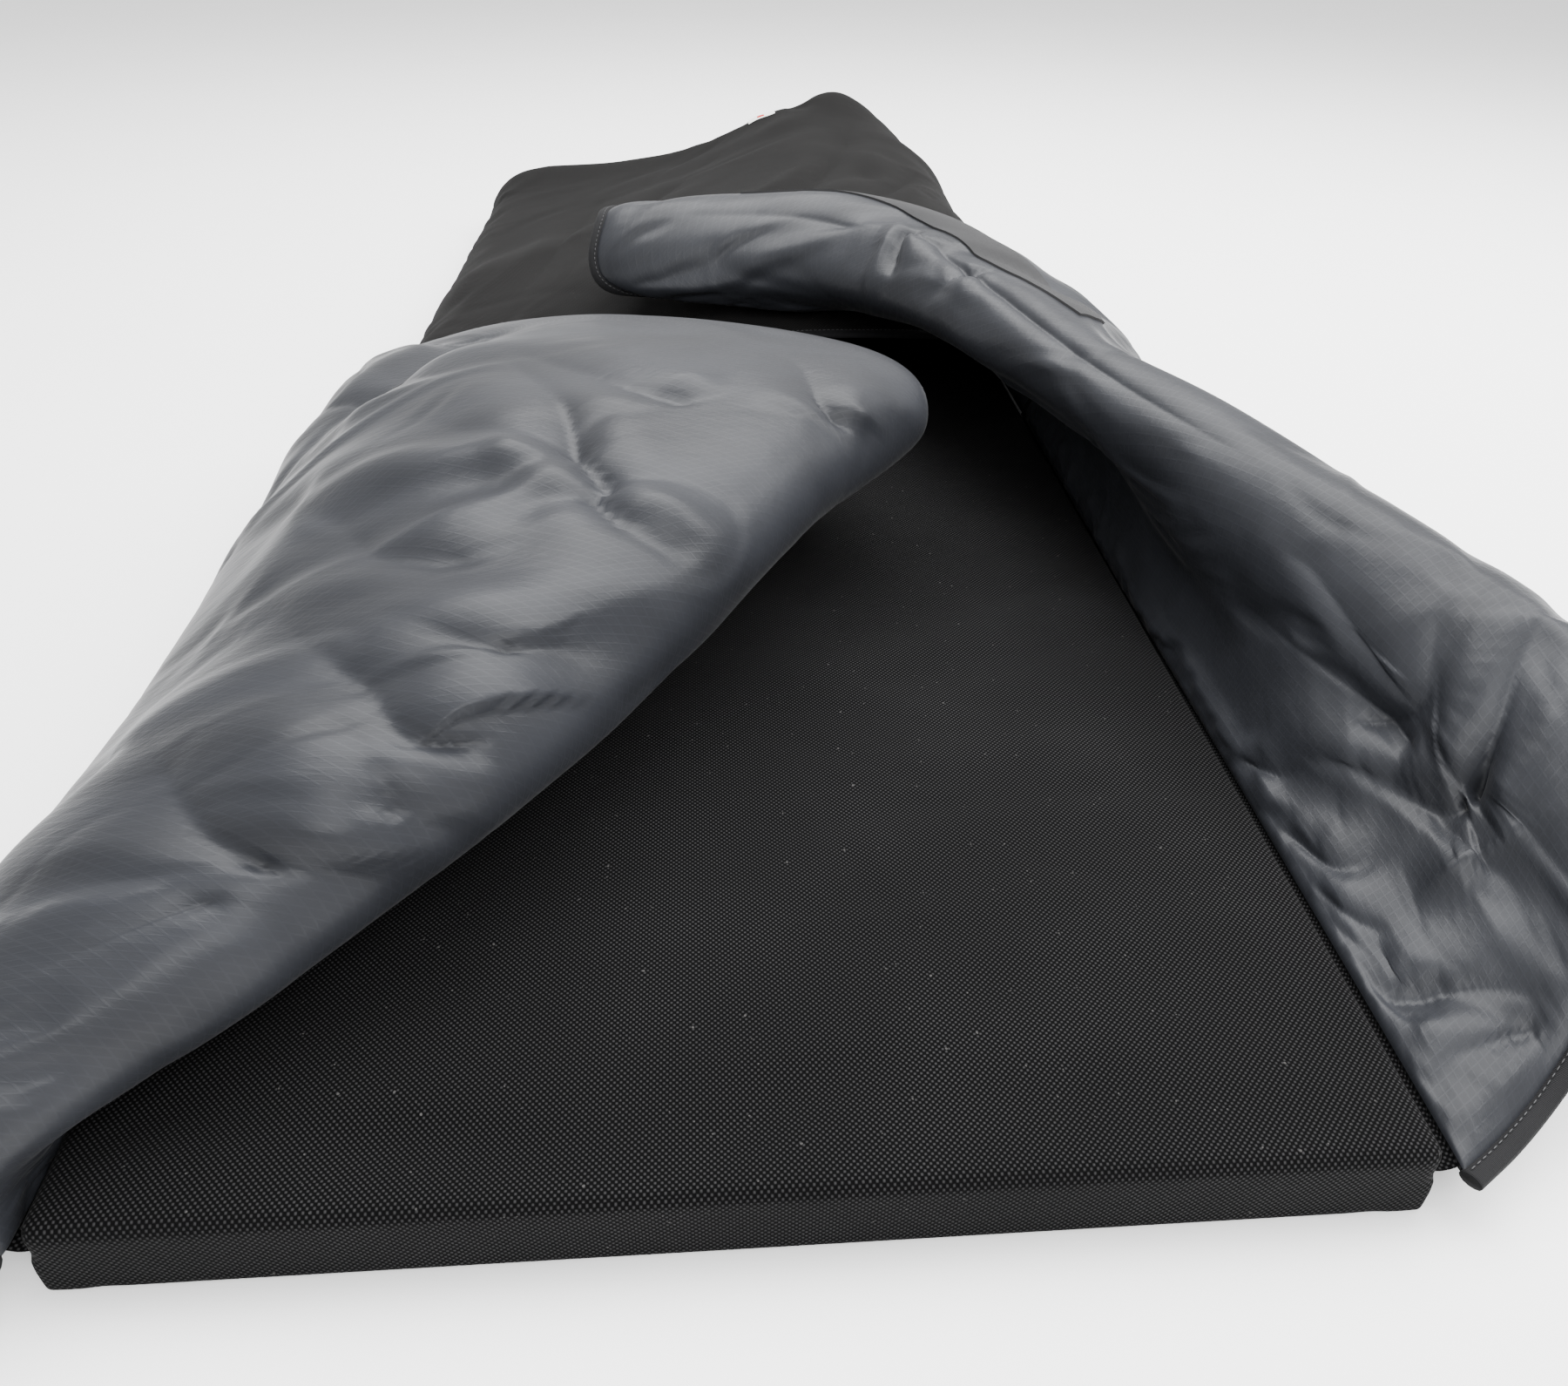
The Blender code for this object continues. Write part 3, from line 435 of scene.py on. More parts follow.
@dataclass
class DrapedSheet:
    """A quilted sheet between a lining and a canvas, draped over nothing but its own fill."""

    name: str
    rows: list[list[np.ndarray]]
    turn: int
    columns: int
    lines: int
    thick: float = 0.021
    hem: float = 0.0045
    grid: np.ndarray = field(init=False)
    normal: np.ndarray = field(init=False)
    u: np.ndarray = field(init=False)
    v: np.ndarray = field(init=False)
    flat: np.ndarray = field(init=False)

    def __post_init__(self) -> None:
        """Samples the surface at even steps along each line."""
        fine = np.linspace(0, len(self.rows[0]) - 1, 400)
        self.v = np.linspace(0, len(self.rows) - 1, self.lines)
        dense = catmull(np.array([catmull(np.array(row), fine) for row in self.rows]), self.v)
        self.grid = np.empty((self.lines, self.columns, 3))
        self.u = np.empty((self.lines, self.columns))
        share = np.linspace(0, 1, self.columns)
        for i, line in enumerate(dense):
            steps = np.linalg.norm(np.diff(line, axis=0), axis=1)
            run = np.concatenate(([0], np.cumsum(steps)))
            self.u[i] = np.interp(share * run[-1], run, fine)
            for axis in range(3):
                self.grid[i, :, axis] = np.interp(share * run[-1], run, line[:, axis])
        self.normal = self.normals(self.grid)
        steps = np.linalg.norm(np.diff(self.grid, axis=1), axis=2)
        along = np.concatenate([np.zeros((self.lines, 1)), np.cumsum(steps, axis=1)], axis=1)
        rows = np.linalg.norm(np.diff(self.grid, axis=0), axis=2).mean(axis=1)
        across = np.concatenate([[0], np.cumsum(rows)])[:, None] * np.ones((1, self.columns))
        self.flat = np.stack([along, across], axis=-1)

    def normals(self, grid: np.ndarray) -> np.ndarray:
        """Smoothed unit normals, from the lining towards the canvas."""
        found = np.cross(np.gradient(grid, axis=1), np.gradient(grid, axis=0)) * self.turn
        found /= np.linalg.norm(found, axis=2, keepdims=True) + 1e-12
        for _ in range(3):
            around = np.pad(found, ((1, 1), (1, 1), (0, 0)), mode="edge")
            found = (2 * found + around[:-2, 1:-1] + around[2:, 1:-1]
                     + around[1:-1, :-2] + around[1:-1, 2:])
            found /= np.linalg.norm(found, axis=2, keepdims=True)
        return found

    def flat_line(self, path: tuple[Spot, ...]) -> np.ndarray:
        """A path given in sheet coordinates (u, v), smoothed, in flat coordinates."""
        spots = catmull(np.array(path), np.linspace(0, len(path) - 1, 20))
        found = []
        for u, v in spots:
            row = float(np.interp(v, self.v, np.arange(self.lines)))
            low = min(int(row), self.lines - 2)
            ends = [[np.interp(u, self.u[r], self.flat[r, :, k]) for k in (0, 1)] for r in (low, low + 1)]
            found.append(np.array(ends[0]) * (low + 1 - row) + np.array(ends[1]) * (row - low))
        return np.array(found)

    def half(self) -> np.ndarray:
        """Half the sheet's thickness, thin at its hems."""
        rows = np.minimum(np.arange(self.lines), np.arange(self.lines)[::-1])[:, None]
        cols = np.minimum(np.arange(self.columns), np.arange(self.columns)[::-1])[None, :]
        rise = np.clip(rows / 12, 0, 1), np.clip(cols / 12, 0, 1)
        bulge = np.sqrt(1 - (1 - rise[0]) ** 2) * np.sqrt(1 - (1 - rise[1]) ** 2)
        return (self.hem + (self.thick - self.hem) * bulge) / 2

    def mesh(self, lining_lift: np.ndarray, canvas_lift: np.ndarray) -> bpy.types.Object:
        """A closed quilt with cloth coordinates: slot 0 is the lining, slot 1 the canvas.

        Args:
            lining_lift: extra thickness on the lining's side.
            canvas_lift: extra thickness on the canvas' side.

        Returns:
            The new object.
        """
        half = self.half()
        inner = self.grid - self.normal * (half + lining_lift)[..., None]
        outer = self.grid + self.normal * (half + canvas_lift)[..., None]
        wide, deep = self.columns, self.lines
        count = wide * deep
        points = np.concatenate([inner.reshape(-1, 3), outer.reshape(-1, 3)])
        index = np.arange(count).reshape(deep, wide)
        quads = np.stack([index[:-1, :-1], index[:-1, 1:], index[1:, 1:], index[1:, :-1]], -1)
        quads = quads.reshape(-1, 4)
        rim = np.concatenate([index[0], index[1:, -1], index[-1, -2::-1], index[-2:0:-1, 0]])
        following = np.roll(rim, -1)
        edge = np.stack([following, rim, rim + count, following + count], -1)
        faces = np.concatenate([quads, quads[:, ::-1] + count, edge])
        if self.turn > 0:
            faces = faces[:, ::-1]
        data = bpy.data.meshes.new(self.name)
        data.from_pydata(points.tolist(), [], faces.tolist())
        flat = self.flat.reshape(-1, 2)
        hem = np.repeat(self.flat[:, -1, 0], wide)
        along_u = self.u.ravel()
        marks = np.stack([np.tile(flat[:, 0], 2), np.tile(flat[:, 1], 2),
                          np.repeat((0.0, 1.0), count)], axis=1)
        spots = np.stack([np.tile(along_u, 2), np.tile(hem, 2), np.zeros(2 * count)], axis=1)
        for name, values in (("flat_place", marks), ("sheet_place", spots)):
            store = data.attributes.new(name, "FLOAT_VECTOR", "POINT")
            store.data.foreach_set("vector", values.astype(np.float32).ravel())
        flat = np.concatenate([flat, flat + (0.0013, 0.0007)])
        layer = data.uv_layers.new(name=UV_NAME)
        corners = np.empty(len(data.loops), np.int32)
        data.loops.foreach_get("vertex_index", corners)
        layer.data.foreach_set("uv", flat[corners].ravel().astype(np.float32))
        sides = np.concatenate([np.zeros(len(quads)), np.ones(len(quads) + len(edge))])
        data.polygons.foreach_set("material_index", sides.astype(np.int32))
        obj = bpy.data.objects.new(self.name, data)
        bpy.context.scene.collection.objects.link(obj)
        pins = obj.vertex_groups.new(name="pinned")
        rows = np.minimum(np.arange(deep), np.arange(deep)[::-1])[:, None]
        cols = np.minimum(np.arange(wide), np.arange(wide)[::-1])[None, :]
        hold = np.clip(1 - np.minimum(rows, cols) / 3, 0.0, 1).ravel()
        for level in (1.0, 2 / 3, 1 / 3):
            held = np.flatnonzero(np.abs(hold - level) < 0.01)
            pins.add(np.concatenate([held, held + count]).tolist(), level, "REPLACE")
        return obj


def only(obj: bpy.types.Object) -> None:
    """Makes obj the only selected and the active object."""
    bpy.ops.object.select_all(action="DESELECT")
    obj.select_set(True)
    bpy.context.view_layer.objects.active = obj


def coordinates_of(mesh: bpy.types.Mesh) -> np.ndarray:
    """A mesh's points."""
    found = np.empty(len(mesh.vertices) * 3, np.float32)
    mesh.vertices.foreach_get("co", found)
    return found.reshape(-1, 3).astype(float)


def puff(obj: bpy.types.Object, pressure: float, slack: float, cap: float, frames: int = 14) -> None:
    """Lets the quilt's cloth swell and buckle over its fill.

    Args:
        obj: a closed quilt with a vertex group named pinned.
        pressure: the fill's push.
        slack: how much more cloth there is than the shape needs.
        cap: the furthest a point may move.
        frames: simulated frames.
    """
    before = coordinates_of(obj.data)
    only(obj)
    cloth = obj.modifiers.new("cloth", "CLOTH")
    settings = cloth.settings
    settings.quality = 4
    settings.mass = 0.25
    settings.tension_stiffness = 12
    settings.compression_stiffness = 12
    settings.shear_stiffness = 4
    settings.bending_stiffness = 0.8
    settings.use_pressure = True
    settings.uniform_pressure_force = pressure
    settings.vertex_group_mass = "pinned"
    settings.pin_stiffness = 1.0
    settings.shrink_min = -slack
    settings.effector_weights.gravity = 0
    cloth.collision_settings.use_collision = False
    cloth.point_cache.frame_start = 1
    cloth.point_cache.frame_end = frames
    scene = bpy.context.scene
    for step in range(1, frames + 1):
        scene.frame_set(step)
    bpy.ops.object.modifier_apply(modifier=cloth.name)
    scene.frame_set(1)
    after = coordinates_of(obj.data)
    move = after - before
    far = np.linalg.norm(move, axis=1, keepdims=True) + 1e-12
    move *= np.minimum(1, cap / far)
    obj.data.vertices.foreach_set("co", (before + move).astype(np.float32).ravel())
    obj.data.update()


def soften(obj: bpy.types.Object) -> None:
    """Adds and applies one subdivision, and shades the piece smooth."""
    only(obj)
    sub = obj.modifiers.new("soften", "SUBSURF")
    sub.levels = sub.render_levels = 1
    bpy.ops.object.modifier_apply(modifier=sub.name)
    bpy.ops.object.shade_smooth()


def dress(obj: bpy.types.Object, *finishes: bpy.types.Material) -> None:
    """Puts finishes in a piece's material slots."""
    slots = obj.data.materials
    for index, finish in enumerate(finishes):
        if index < len(slots):
            slots[index] = finish
        else:
            slots.append(finish)


def tube(name: str, path: np.ndarray, up: np.ndarray, section: list[Spot]) -> bpy.types.Object:
    """Sweeps a section along a path, with cloth coordinates (run, girth).

    Args:
        name: the object's name.
        path: points of the path.
        up: the section's second axis at each point.
        section: outline points, as (aside, up), in order.

    Returns:
        The new object.
    """
    tangent = np.gradient(path, axis=0)
    aside = np.cross(tangent, up)
    aside /= np.linalg.norm(aside, axis=1, keepdims=True) + 1e-12
    lift = np.cross(aside, tangent)
    lift /= np.linalg.norm(lift, axis=1, keepdims=True) + 1e-12
    rings = np.stack([path + aside * a + lift * b for a, b in section], axis=1)
    count, around = rings.shape[:2]
    faces, uvs = [], []
    run = np.concatenate([[0], np.cumsum(np.linalg.norm(np.diff(path, axis=0), axis=1))])
    girth = np.linalg.norm(np.diff(np.array(section + section[:1]), axis=0), axis=1)
    girth = np.concatenate([[0], np.cumsum(girth)])
    for i in range(count - 1):
        for k in range(around):
            n = (k + 1) % around
            faces.append((i * around + k, (i + 1) * around + k, (i + 1) * around + n, i * around + n))
            uvs += [(run[i], girth[k]), (run[i + 1], girth[k]), (run[i + 1], girth[k + 1]),
                    (run[i], girth[k + 1])]
    faces.append(tuple(range(around)))
    faces.append(tuple((count - 1) * around + k for k in range(around - 1, -1, -1)))
    uvs += [(0.0, 0.0)] * (2 * around)
    data = bpy.data.meshes.new(name)
    data.from_pydata(rings.reshape(-1, 3).tolist(), [], faces)
    layer = data.uv_layers.new(name=UV_NAME)
    layer.data.foreach_set("uv", np.array(uvs, np.float32).ravel())
    work = bmesh.new()
    work.from_mesh(data)
    bmesh.ops.recalc_face_normals(work, faces=work.faces)
    work.to_mesh(data)
    work.free()
    obj = bpy.data.objects.new(name, data)
    bpy.context.scene.collection.objects.link(obj)
    only(obj)
    bpy.ops.object.shade_smooth()
    return obj


def oval(wide: float, high: float, sides: int) -> list[Spot]:
    """Points of an oval section."""
    turns = [2 * math.pi * k / sides for k in range(sides)]
    return [(wide / 2 * math.cos(t), high / 2 * math.sin(t)) for t in turns]


def stitches(name: str, lines: list[tuple[np.ndarray, np.ndarray]], pitch: float = 0.0046,
             length: float = 0.0031, thick: float = 0.00075) -> bpy.types.Object:
    """Rows of lockstitches as small oval beads lying along paths.

    Args:
        name: the object's name.
        lines: for each row, its points and its normals.
        pitch: distance from stitch to stitch.
        length: length of one stitch.
        thick: the thread's thickness.

    Returns:
        The new object.
    """
    bead = []
    for at, girth in ((-0.5, 0.35), (-0.25, 0.9), (0.25, 0.9), (0.5, 0.35)):
        bead += [(at * length, girth * thick / 2 * math.cos(t), girth * thick / 2 * math.sin(t))
                 for t in (0, math.pi / 2, math.pi, 3 * math.pi / 2)]
    bead = np.array(bead)
    skin = [(r * 4 + k, r * 4 + (k + 1) % 4, (r + 1) * 4 + (k + 1) % 4, (r + 1) * 4 + k)
            for r in range(3) for k in range(4)] + [(3, 2, 1, 0), (12, 13, 14, 15)]
    points, faces = [], []
    for path, normal in lines:
        run = np.concatenate([[0], np.cumsum(np.linalg.norm(np.diff(path, axis=0), axis=1))])
        for at in np.arange(pitch, run[-1] - pitch, pitch):
            place = np.array([np.interp(at, run, path[:, k]) for k in range(3)])
            ahead = np.array([np.interp(at + pitch / 4, run, path[:, k]) for k in range(3)])
            up = np.array([np.interp(at, run, normal[:, k]) for k in range(3)])
            x = ahead - place
            x /= np.linalg.norm(x)
            y = np.cross(up, x)
            y /= np.linalg.norm(y)
            z = np.cross(x, y)
            base = len(points)
            points += (place + bead @ np.stack([x, y, z])).tolist()
            faces += [tuple(base + k for k in face) for face in skin]
    data = bpy.data.meshes.new(name)
    data.from_pydata(points, [], faces)
    obj = bpy.data.objects.new(name, data)
    bpy.context.scene.collection.objects.link(obj)
    only(obj)
    bpy.ops.object.shade_smooth()
    return obj


def finished(obj: bpy.types.Object, body: str, slot: str, *nodes: str) -> bpy.types.Object:
    """Hands a piece to its body, hides the nodes it stands for and logs it; slot is not used."""
    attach(obj, body)
    if nodes:
        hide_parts(*nodes)
    log.info("%s: %d faces on %s", obj.name, len(obj.data.polygons), body)
    return obj


# ------------------------------------------------------------------------------ soft relief
@dataclass(frozen=True)
class Wrinkles:
    """Random soft folds on a sheet: how many, how long and wide, how high, and which way."""

    seed: int
    count: int
    length: tuple[float, float]
    width: tuple[float, float]
    height: float
    angle: float = 0.0
    spread: float = 0.5

    def relief(self, along: np.ndarray, across: np.ndarray) -> np.ndarray:
        """The folds' height at flat places.

        Args:
            along: first flat coordinate of each point.
            across: second flat coordinate of each point.

        Returns:
            Height, with a mean near zero.
        """
        dice = np.random.default_rng(self.seed)
        found = np.zeros(along.shape)
        for _ in range(self.count):
            x = dice.uniform(along.min(), along.max())
            y = dice.uniform(across.min(), across.max())
            turn = self.angle + dice.normal(0, self.spread)
            long = dice.uniform(*self.length) / 2
            wide = dice.uniform(*self.width) / 2
            high = self.height * dice.uniform(0.4, 1.0) * dice.choice((-1.0, 1.0))
            curl = dice.uniform(-1.2, 1.2) / max(long, 0.02)
            run = (along - x) * math.cos(turn) + (across - y) * math.sin(turn)
            off = (across - y) * math.cos(turn) - (along - x) * math.sin(turn)
            off = off + curl * run * run * 0.35
            shape = np.exp(-(run / long) ** 2) * np.exp(-(off / wide) ** 2) * (1 - 0.6 * (off / wide) ** 2)
            found += high * shape
        return found


def puckers(along: np.ndarray, edge: np.ndarray, pitch: float, reach: float, height: float,
            seed: int) -> np.ndarray:
    """Short gathers that run in from a sewn edge.

    Args:
        along: distance along the edge.
        edge: distance from the edge.
        pitch: mean distance between gathers.
        reach: how far they run in.
        height: their height.
        seed: which random ones.

    Returns:
        Height at each point.
    """
    dice = np.random.default_rng(seed)
    found = np.zeros(along.shape)
    at = along.min()
    while at < along.max():
        at += pitch * dice.uniform(0.5, 1.6)
        lean = dice.uniform(-0.5, 0.5)
        deep = reach * dice.uniform(0.4, 1.3)
        wide = pitch * dice.uniform(0.16, 0.30)
        off = along - at - lean * edge
        found += (height * dice.uniform(0.4, 1.0) * np.exp(-(off / (wide * (1 + edge / deep))) ** 2)
                  * np.exp(-(edge / deep) ** 2))
    return found


# ------------------------------------------------------------------------------ flaps and foot cover
@dataclass
class Flap:
    """A heated side flap, turned back on itself like a lapel."""

    prefix: str
    body: str
    side: int
    net: tuple[Row, ...]
    folds: tuple[Fold, ...]
    broad: tuple[Wrinkles, ...]
    fine: tuple[Wrinkles, ...]
    columns: int
    lines: int
    seed: int
    top_from: float
    tape: "FastenerTape"

    def place(self, entry: tuple[float, float, float]) -> np.ndarray:
        """Where an entry of the net lies. Inward places are shares of the mat's width."""
        out, run, height = entry
        across = ROOT + (out if out >= 0 else out * MAT_WIDTH)
        return np.array((self.side * across, HEAD_Y + run, height))

    def sheet(self) -> DrapedSheet:
        """The flap's middle surface."""
        rows = [[self.place(entry) for entry in row] for row in self.net]
        return DrapedSheet(self.prefix + "_quilt", rows, -self.side, self.columns, self.lines)

    def build(self, palette: Palette) -> bpy.types.Object:
        """Makes the flap's quilt, its binding and its stitching."""
        sheet = self.sheet()
        quilt = make_quilt(sheet, self.folds, (), self.broad, self.fine, self.seed, self.top_from)
        dress(quilt, palette.lining, palette.flap_canvas)
        finished(quilt, self.body, "slate_ripstop", *(f"{self.prefix}_{n}" for n in SOFT_LAYERS))
        trim(sheet, self.prefix, "head hem far", self.body, palette.binding, palette.thread)
        self.tape.build(sheet, quilt, palette)
        return quilt


SOFT_LAYERS = ("lining", "heater_film", "bus_bar_near_seam", "bus_bar_near_hem", "wadding", "shell")


def vectors_of(mesh: bpy.types.Mesh, name: str) -> np.ndarray:
    """A mesh's stored vectors, one for each point."""
    found = np.empty(len(mesh.vertices) * 3, np.float32)
    mesh.attributes[name].data.foreach_get("vector", found)
    return found.reshape(-1, 3).astype(float)


def make_quilt(sheet: DrapedSheet, lining_folds: tuple[Fold, ...], canvas_folds: tuple[Fold, ...],
               broad: tuple[Wrinkles, ...], fine: tuple[Wrinkles, ...], seed: int,
               top_from: float) -> bpy.types.Object:
    """Builds a quilt, lets its cloth swell, and lays its creases.

    Args:
        sheet: the middle surface.
        lining_folds: creases of the lining.
        canvas_folds: creases of the canvas.
        broad: soft folds of the whole quilt.
        fine: small wrinkles of its cloth.
        seed: which random gathers.
        top_from: the sheet coordinate from which the quilt lies open on top.

    Returns:
        The quilt.
    """
    along, across = sheet.flat[..., 0], sheet.flat[..., 1]
    edge = np.minimum(np.minimum(along, along[:, -1:] - along), np.minimum(across, across.max() - across))
    inside = np.clip(edge / 0.08, 0, 1)
    inside = inside * inside * (3 - 2 * inside)
    open_top = 0.35 + 0.65 * np.clip((sheet.u - top_from) / 0.6 + 0.5, 0, 1)
    soft = sum(w.relief(along, across) for w in broad) * inside * open_top
    quilt = sheet.mesh(soft, -soft)
    puff(quilt, 2.0, 0.012, 0.0045)
    soften(quilt)
    mesh = quilt.data
    marks, spots = vectors_of(mesh, "flat_place"), vectors_of(mesh, "sheet_place")
    flat, on_canvas = marks[:, :2], marks[:, 2]
    x, y = flat.T
    root, hem, head, far = x, spots[:, 1] - x, y, y.max() - y
    edge = np.minimum(np.minimum(root, hem), np.minimum(head, far))
    open_top = 0.35 + 0.65 * np.clip((spots[:, 0] - top_from) / 0.6 + 0.5, 0, 1)
    lift = (puckers(y, hem, 0.030, 0.050, 0.0020, seed) + puckers(y, root, 0.032, 0.060, 0.0022, seed + 1)
            + puckers(x, head, 0.036, 0.045, 0.0018, seed + 2)
            + puckers(x, far, 0.036, 0.045, 0.0018, seed + 3))
    lift += sum(w.relief(x, y) for w in fine) * np.clip(edge / 0.03, 0, 1) * open_top * (1 - 2 * on_canvas)
    for folds, face in ((lining_folds, 1 - on_canvas), (canvas_folds, on_canvas)):
        for fold in folds:
            crease = fold.relief(flat, sheet.flat_line(fold.path))
            lift += crease * face - np.minimum(crease, 0) * 0.3 * (1 - face)
    lift *= np.clip((edge - 0.003) / 0.012, 0, 1) * (np.abs(on_canvas - 0.5) > 0.45)
    turned = np.empty(len(mesh.vertices) * 3, np.float32)
    mesh.vertices.foreach_get("normal", turned)
    moved = coordinates_of(mesh) + turned.reshape(-1, 3) * lift[:, None]
    mesh.vertices.foreach_set("co", moved.astype(np.float32).ravel())
    mesh.update()
    for name in ("flat_place", "sheet_place"):
        mesh.attributes.remove(mesh.attributes[name])
    return quilt


def trim(sheet: DrapedSheet, prefix: str, edges: str, body: str, tape: bpy.types.Material,
         thread: bpy.types.Material) -> None:
    """The folded tape round a sheet's hems, and two rows of stitches beside it.

    Args:
        sheet: the sheet.
        prefix: the flap's or the cover's name.
        edges: which edges, in order: head, hem, far.
        body: the body they ride on.
        tape: finish of the tape.
        thread: finish of the thread.
    """
    grid, normal = sheet.grid, sheet.normal
    walks = {"head": (grid[0], normal[0], grid[1]),
             "hem": (grid[:, -1], normal[:, -1], grid[:, -2]),
             "far": (grid[-1, ::-1], normal[-1, ::-1], grid[-2, ::-1])}
    path, ups, inner = (np.concatenate([walks[name][k] for name in edges.split()]) for k in range(3))
    keep = np.concatenate([[True], np.linalg.norm(np.diff(path, axis=0), axis=1) > 1e-5])
    path, ups, inner = path[keep], ups[keep], inner[keep]
    tangent = np.gradient(path, axis=0)
    tangent /= np.linalg.norm(tangent, axis=1, keepdims=True)
    outs = np.cross(tangent, ups)
    flip = np.sign(((path - inner) * outs).sum(1, keepdims=True))
    outs *= flip
    for _ in range(4):
        outs[1:-1] = (outs[:-2] + 2 * outs[1:-1] + outs[2:]) / 4
    outs /= np.linalg.norm(outs, axis=1, keepdims=True)
    spine = path + outs * 0.0030
    band = tube(prefix + "_binding_tape", spine, ups, oval(0.0115, 0.0072, 12))
    dress(band, tape)
    finished(band, body, "black_canvas", prefix + "_binding")
    rise = 0.00385
    lines = []
    for face in (-1, 1):
        lines.append((path + outs * 0.0005 + ups * face * rise, ups * face))
    rows = stitches(prefix + "_hem_stitches", lines)
    dress(rows, thread)
    finished(rows, body, "black_canvas")


@dataclass(frozen=True)
class FastenerTape:
    """A strip of hook or loop tape sewn on one face of a flap."""

    name: str
    node: str
    body: str
    face: int
    u: tuple[float, float]
    v: tuple[float, float]
    rise: float = 0.0009
    thick: float = 0.0011

    def build(self, sheet: DrapedSheet, quilt: bpy.types.Object, palette: Palette) -> None:
        """Lays the strip on the quilt.

        Args:
            sheet: the flap's middle surface.
            quilt: the finished quilt.
            palette: the finishes.
        """
        tree = BVHTree.FromObject(quilt, bpy.context.evaluated_depsgraph_get())
        wide, long = 12, 46
        bpy.ops.object.select_all(action="DESELECT")
        bpy.ops.mesh.primitive_grid_add(x_subdivisions=long, y_subdivisions=wide, size=1)
        obj = bpy.context.object
        obj.name = self.name
        flat = []
        for point in obj.data.vertices:
            v = self.v[0] + (point.co.x + 0.5) * (self.v[1] - self.v[0])
            u = self.u[0] + (point.co.y + 0.5) * (self.u[1] - self.u[0])
            exact = float(np.interp(v, sheet.v, np.arange(sheet.lines)))
            low = min(int(exact), sheet.lines - 2)
            share = exact - low
            spots = []
            for r in (low, low + 1):
                column = float(np.interp(u, sheet.u[r], np.arange(sheet.columns)))
                c = min(int(column), sheet.columns - 2)
                t = column - c
                both = np.concatenate([sheet.grid[r], sheet.normal[r], sheet.flat[r]], axis=1)
                spots.append(both[c] * (1 - t) + both[c + 1] * t)
            spot = spots[0] * (1 - share) + spots[1] * share
            outer = Vector(spot[:3] + spot[3:6] * self.face * 0.016)
            near, turned, _, _ = tree.find_nearest(outer)
            point.co = near + turned * self.rise
            flat.append(spot[6:])
        if (obj.data.polygons[0].normal @ turned) < 0:
            obj.data.flip_normals()
        layer = obj.data.uv_layers[0]
        layer.name = UV_NAME
        for loop in obj.data.loops:
            layer.data[loop.index].uv = flat[loop.vertex_index]
        wall = obj.modifiers.new("wall", "SOLIDIFY")
        wall.thickness = self.thick + self.rise
        wall.offset = -1 + 2 * self.thick / (self.thick + self.rise)
        bpy.ops.object.modifier_apply(modifier=wall.name)
        bpy.ops.object.shade_smooth_by_angle(angle=math.radians(50))
        dress(obj, palette.hook)
        finished(obj, self.body, "fastener_tape", self.node)


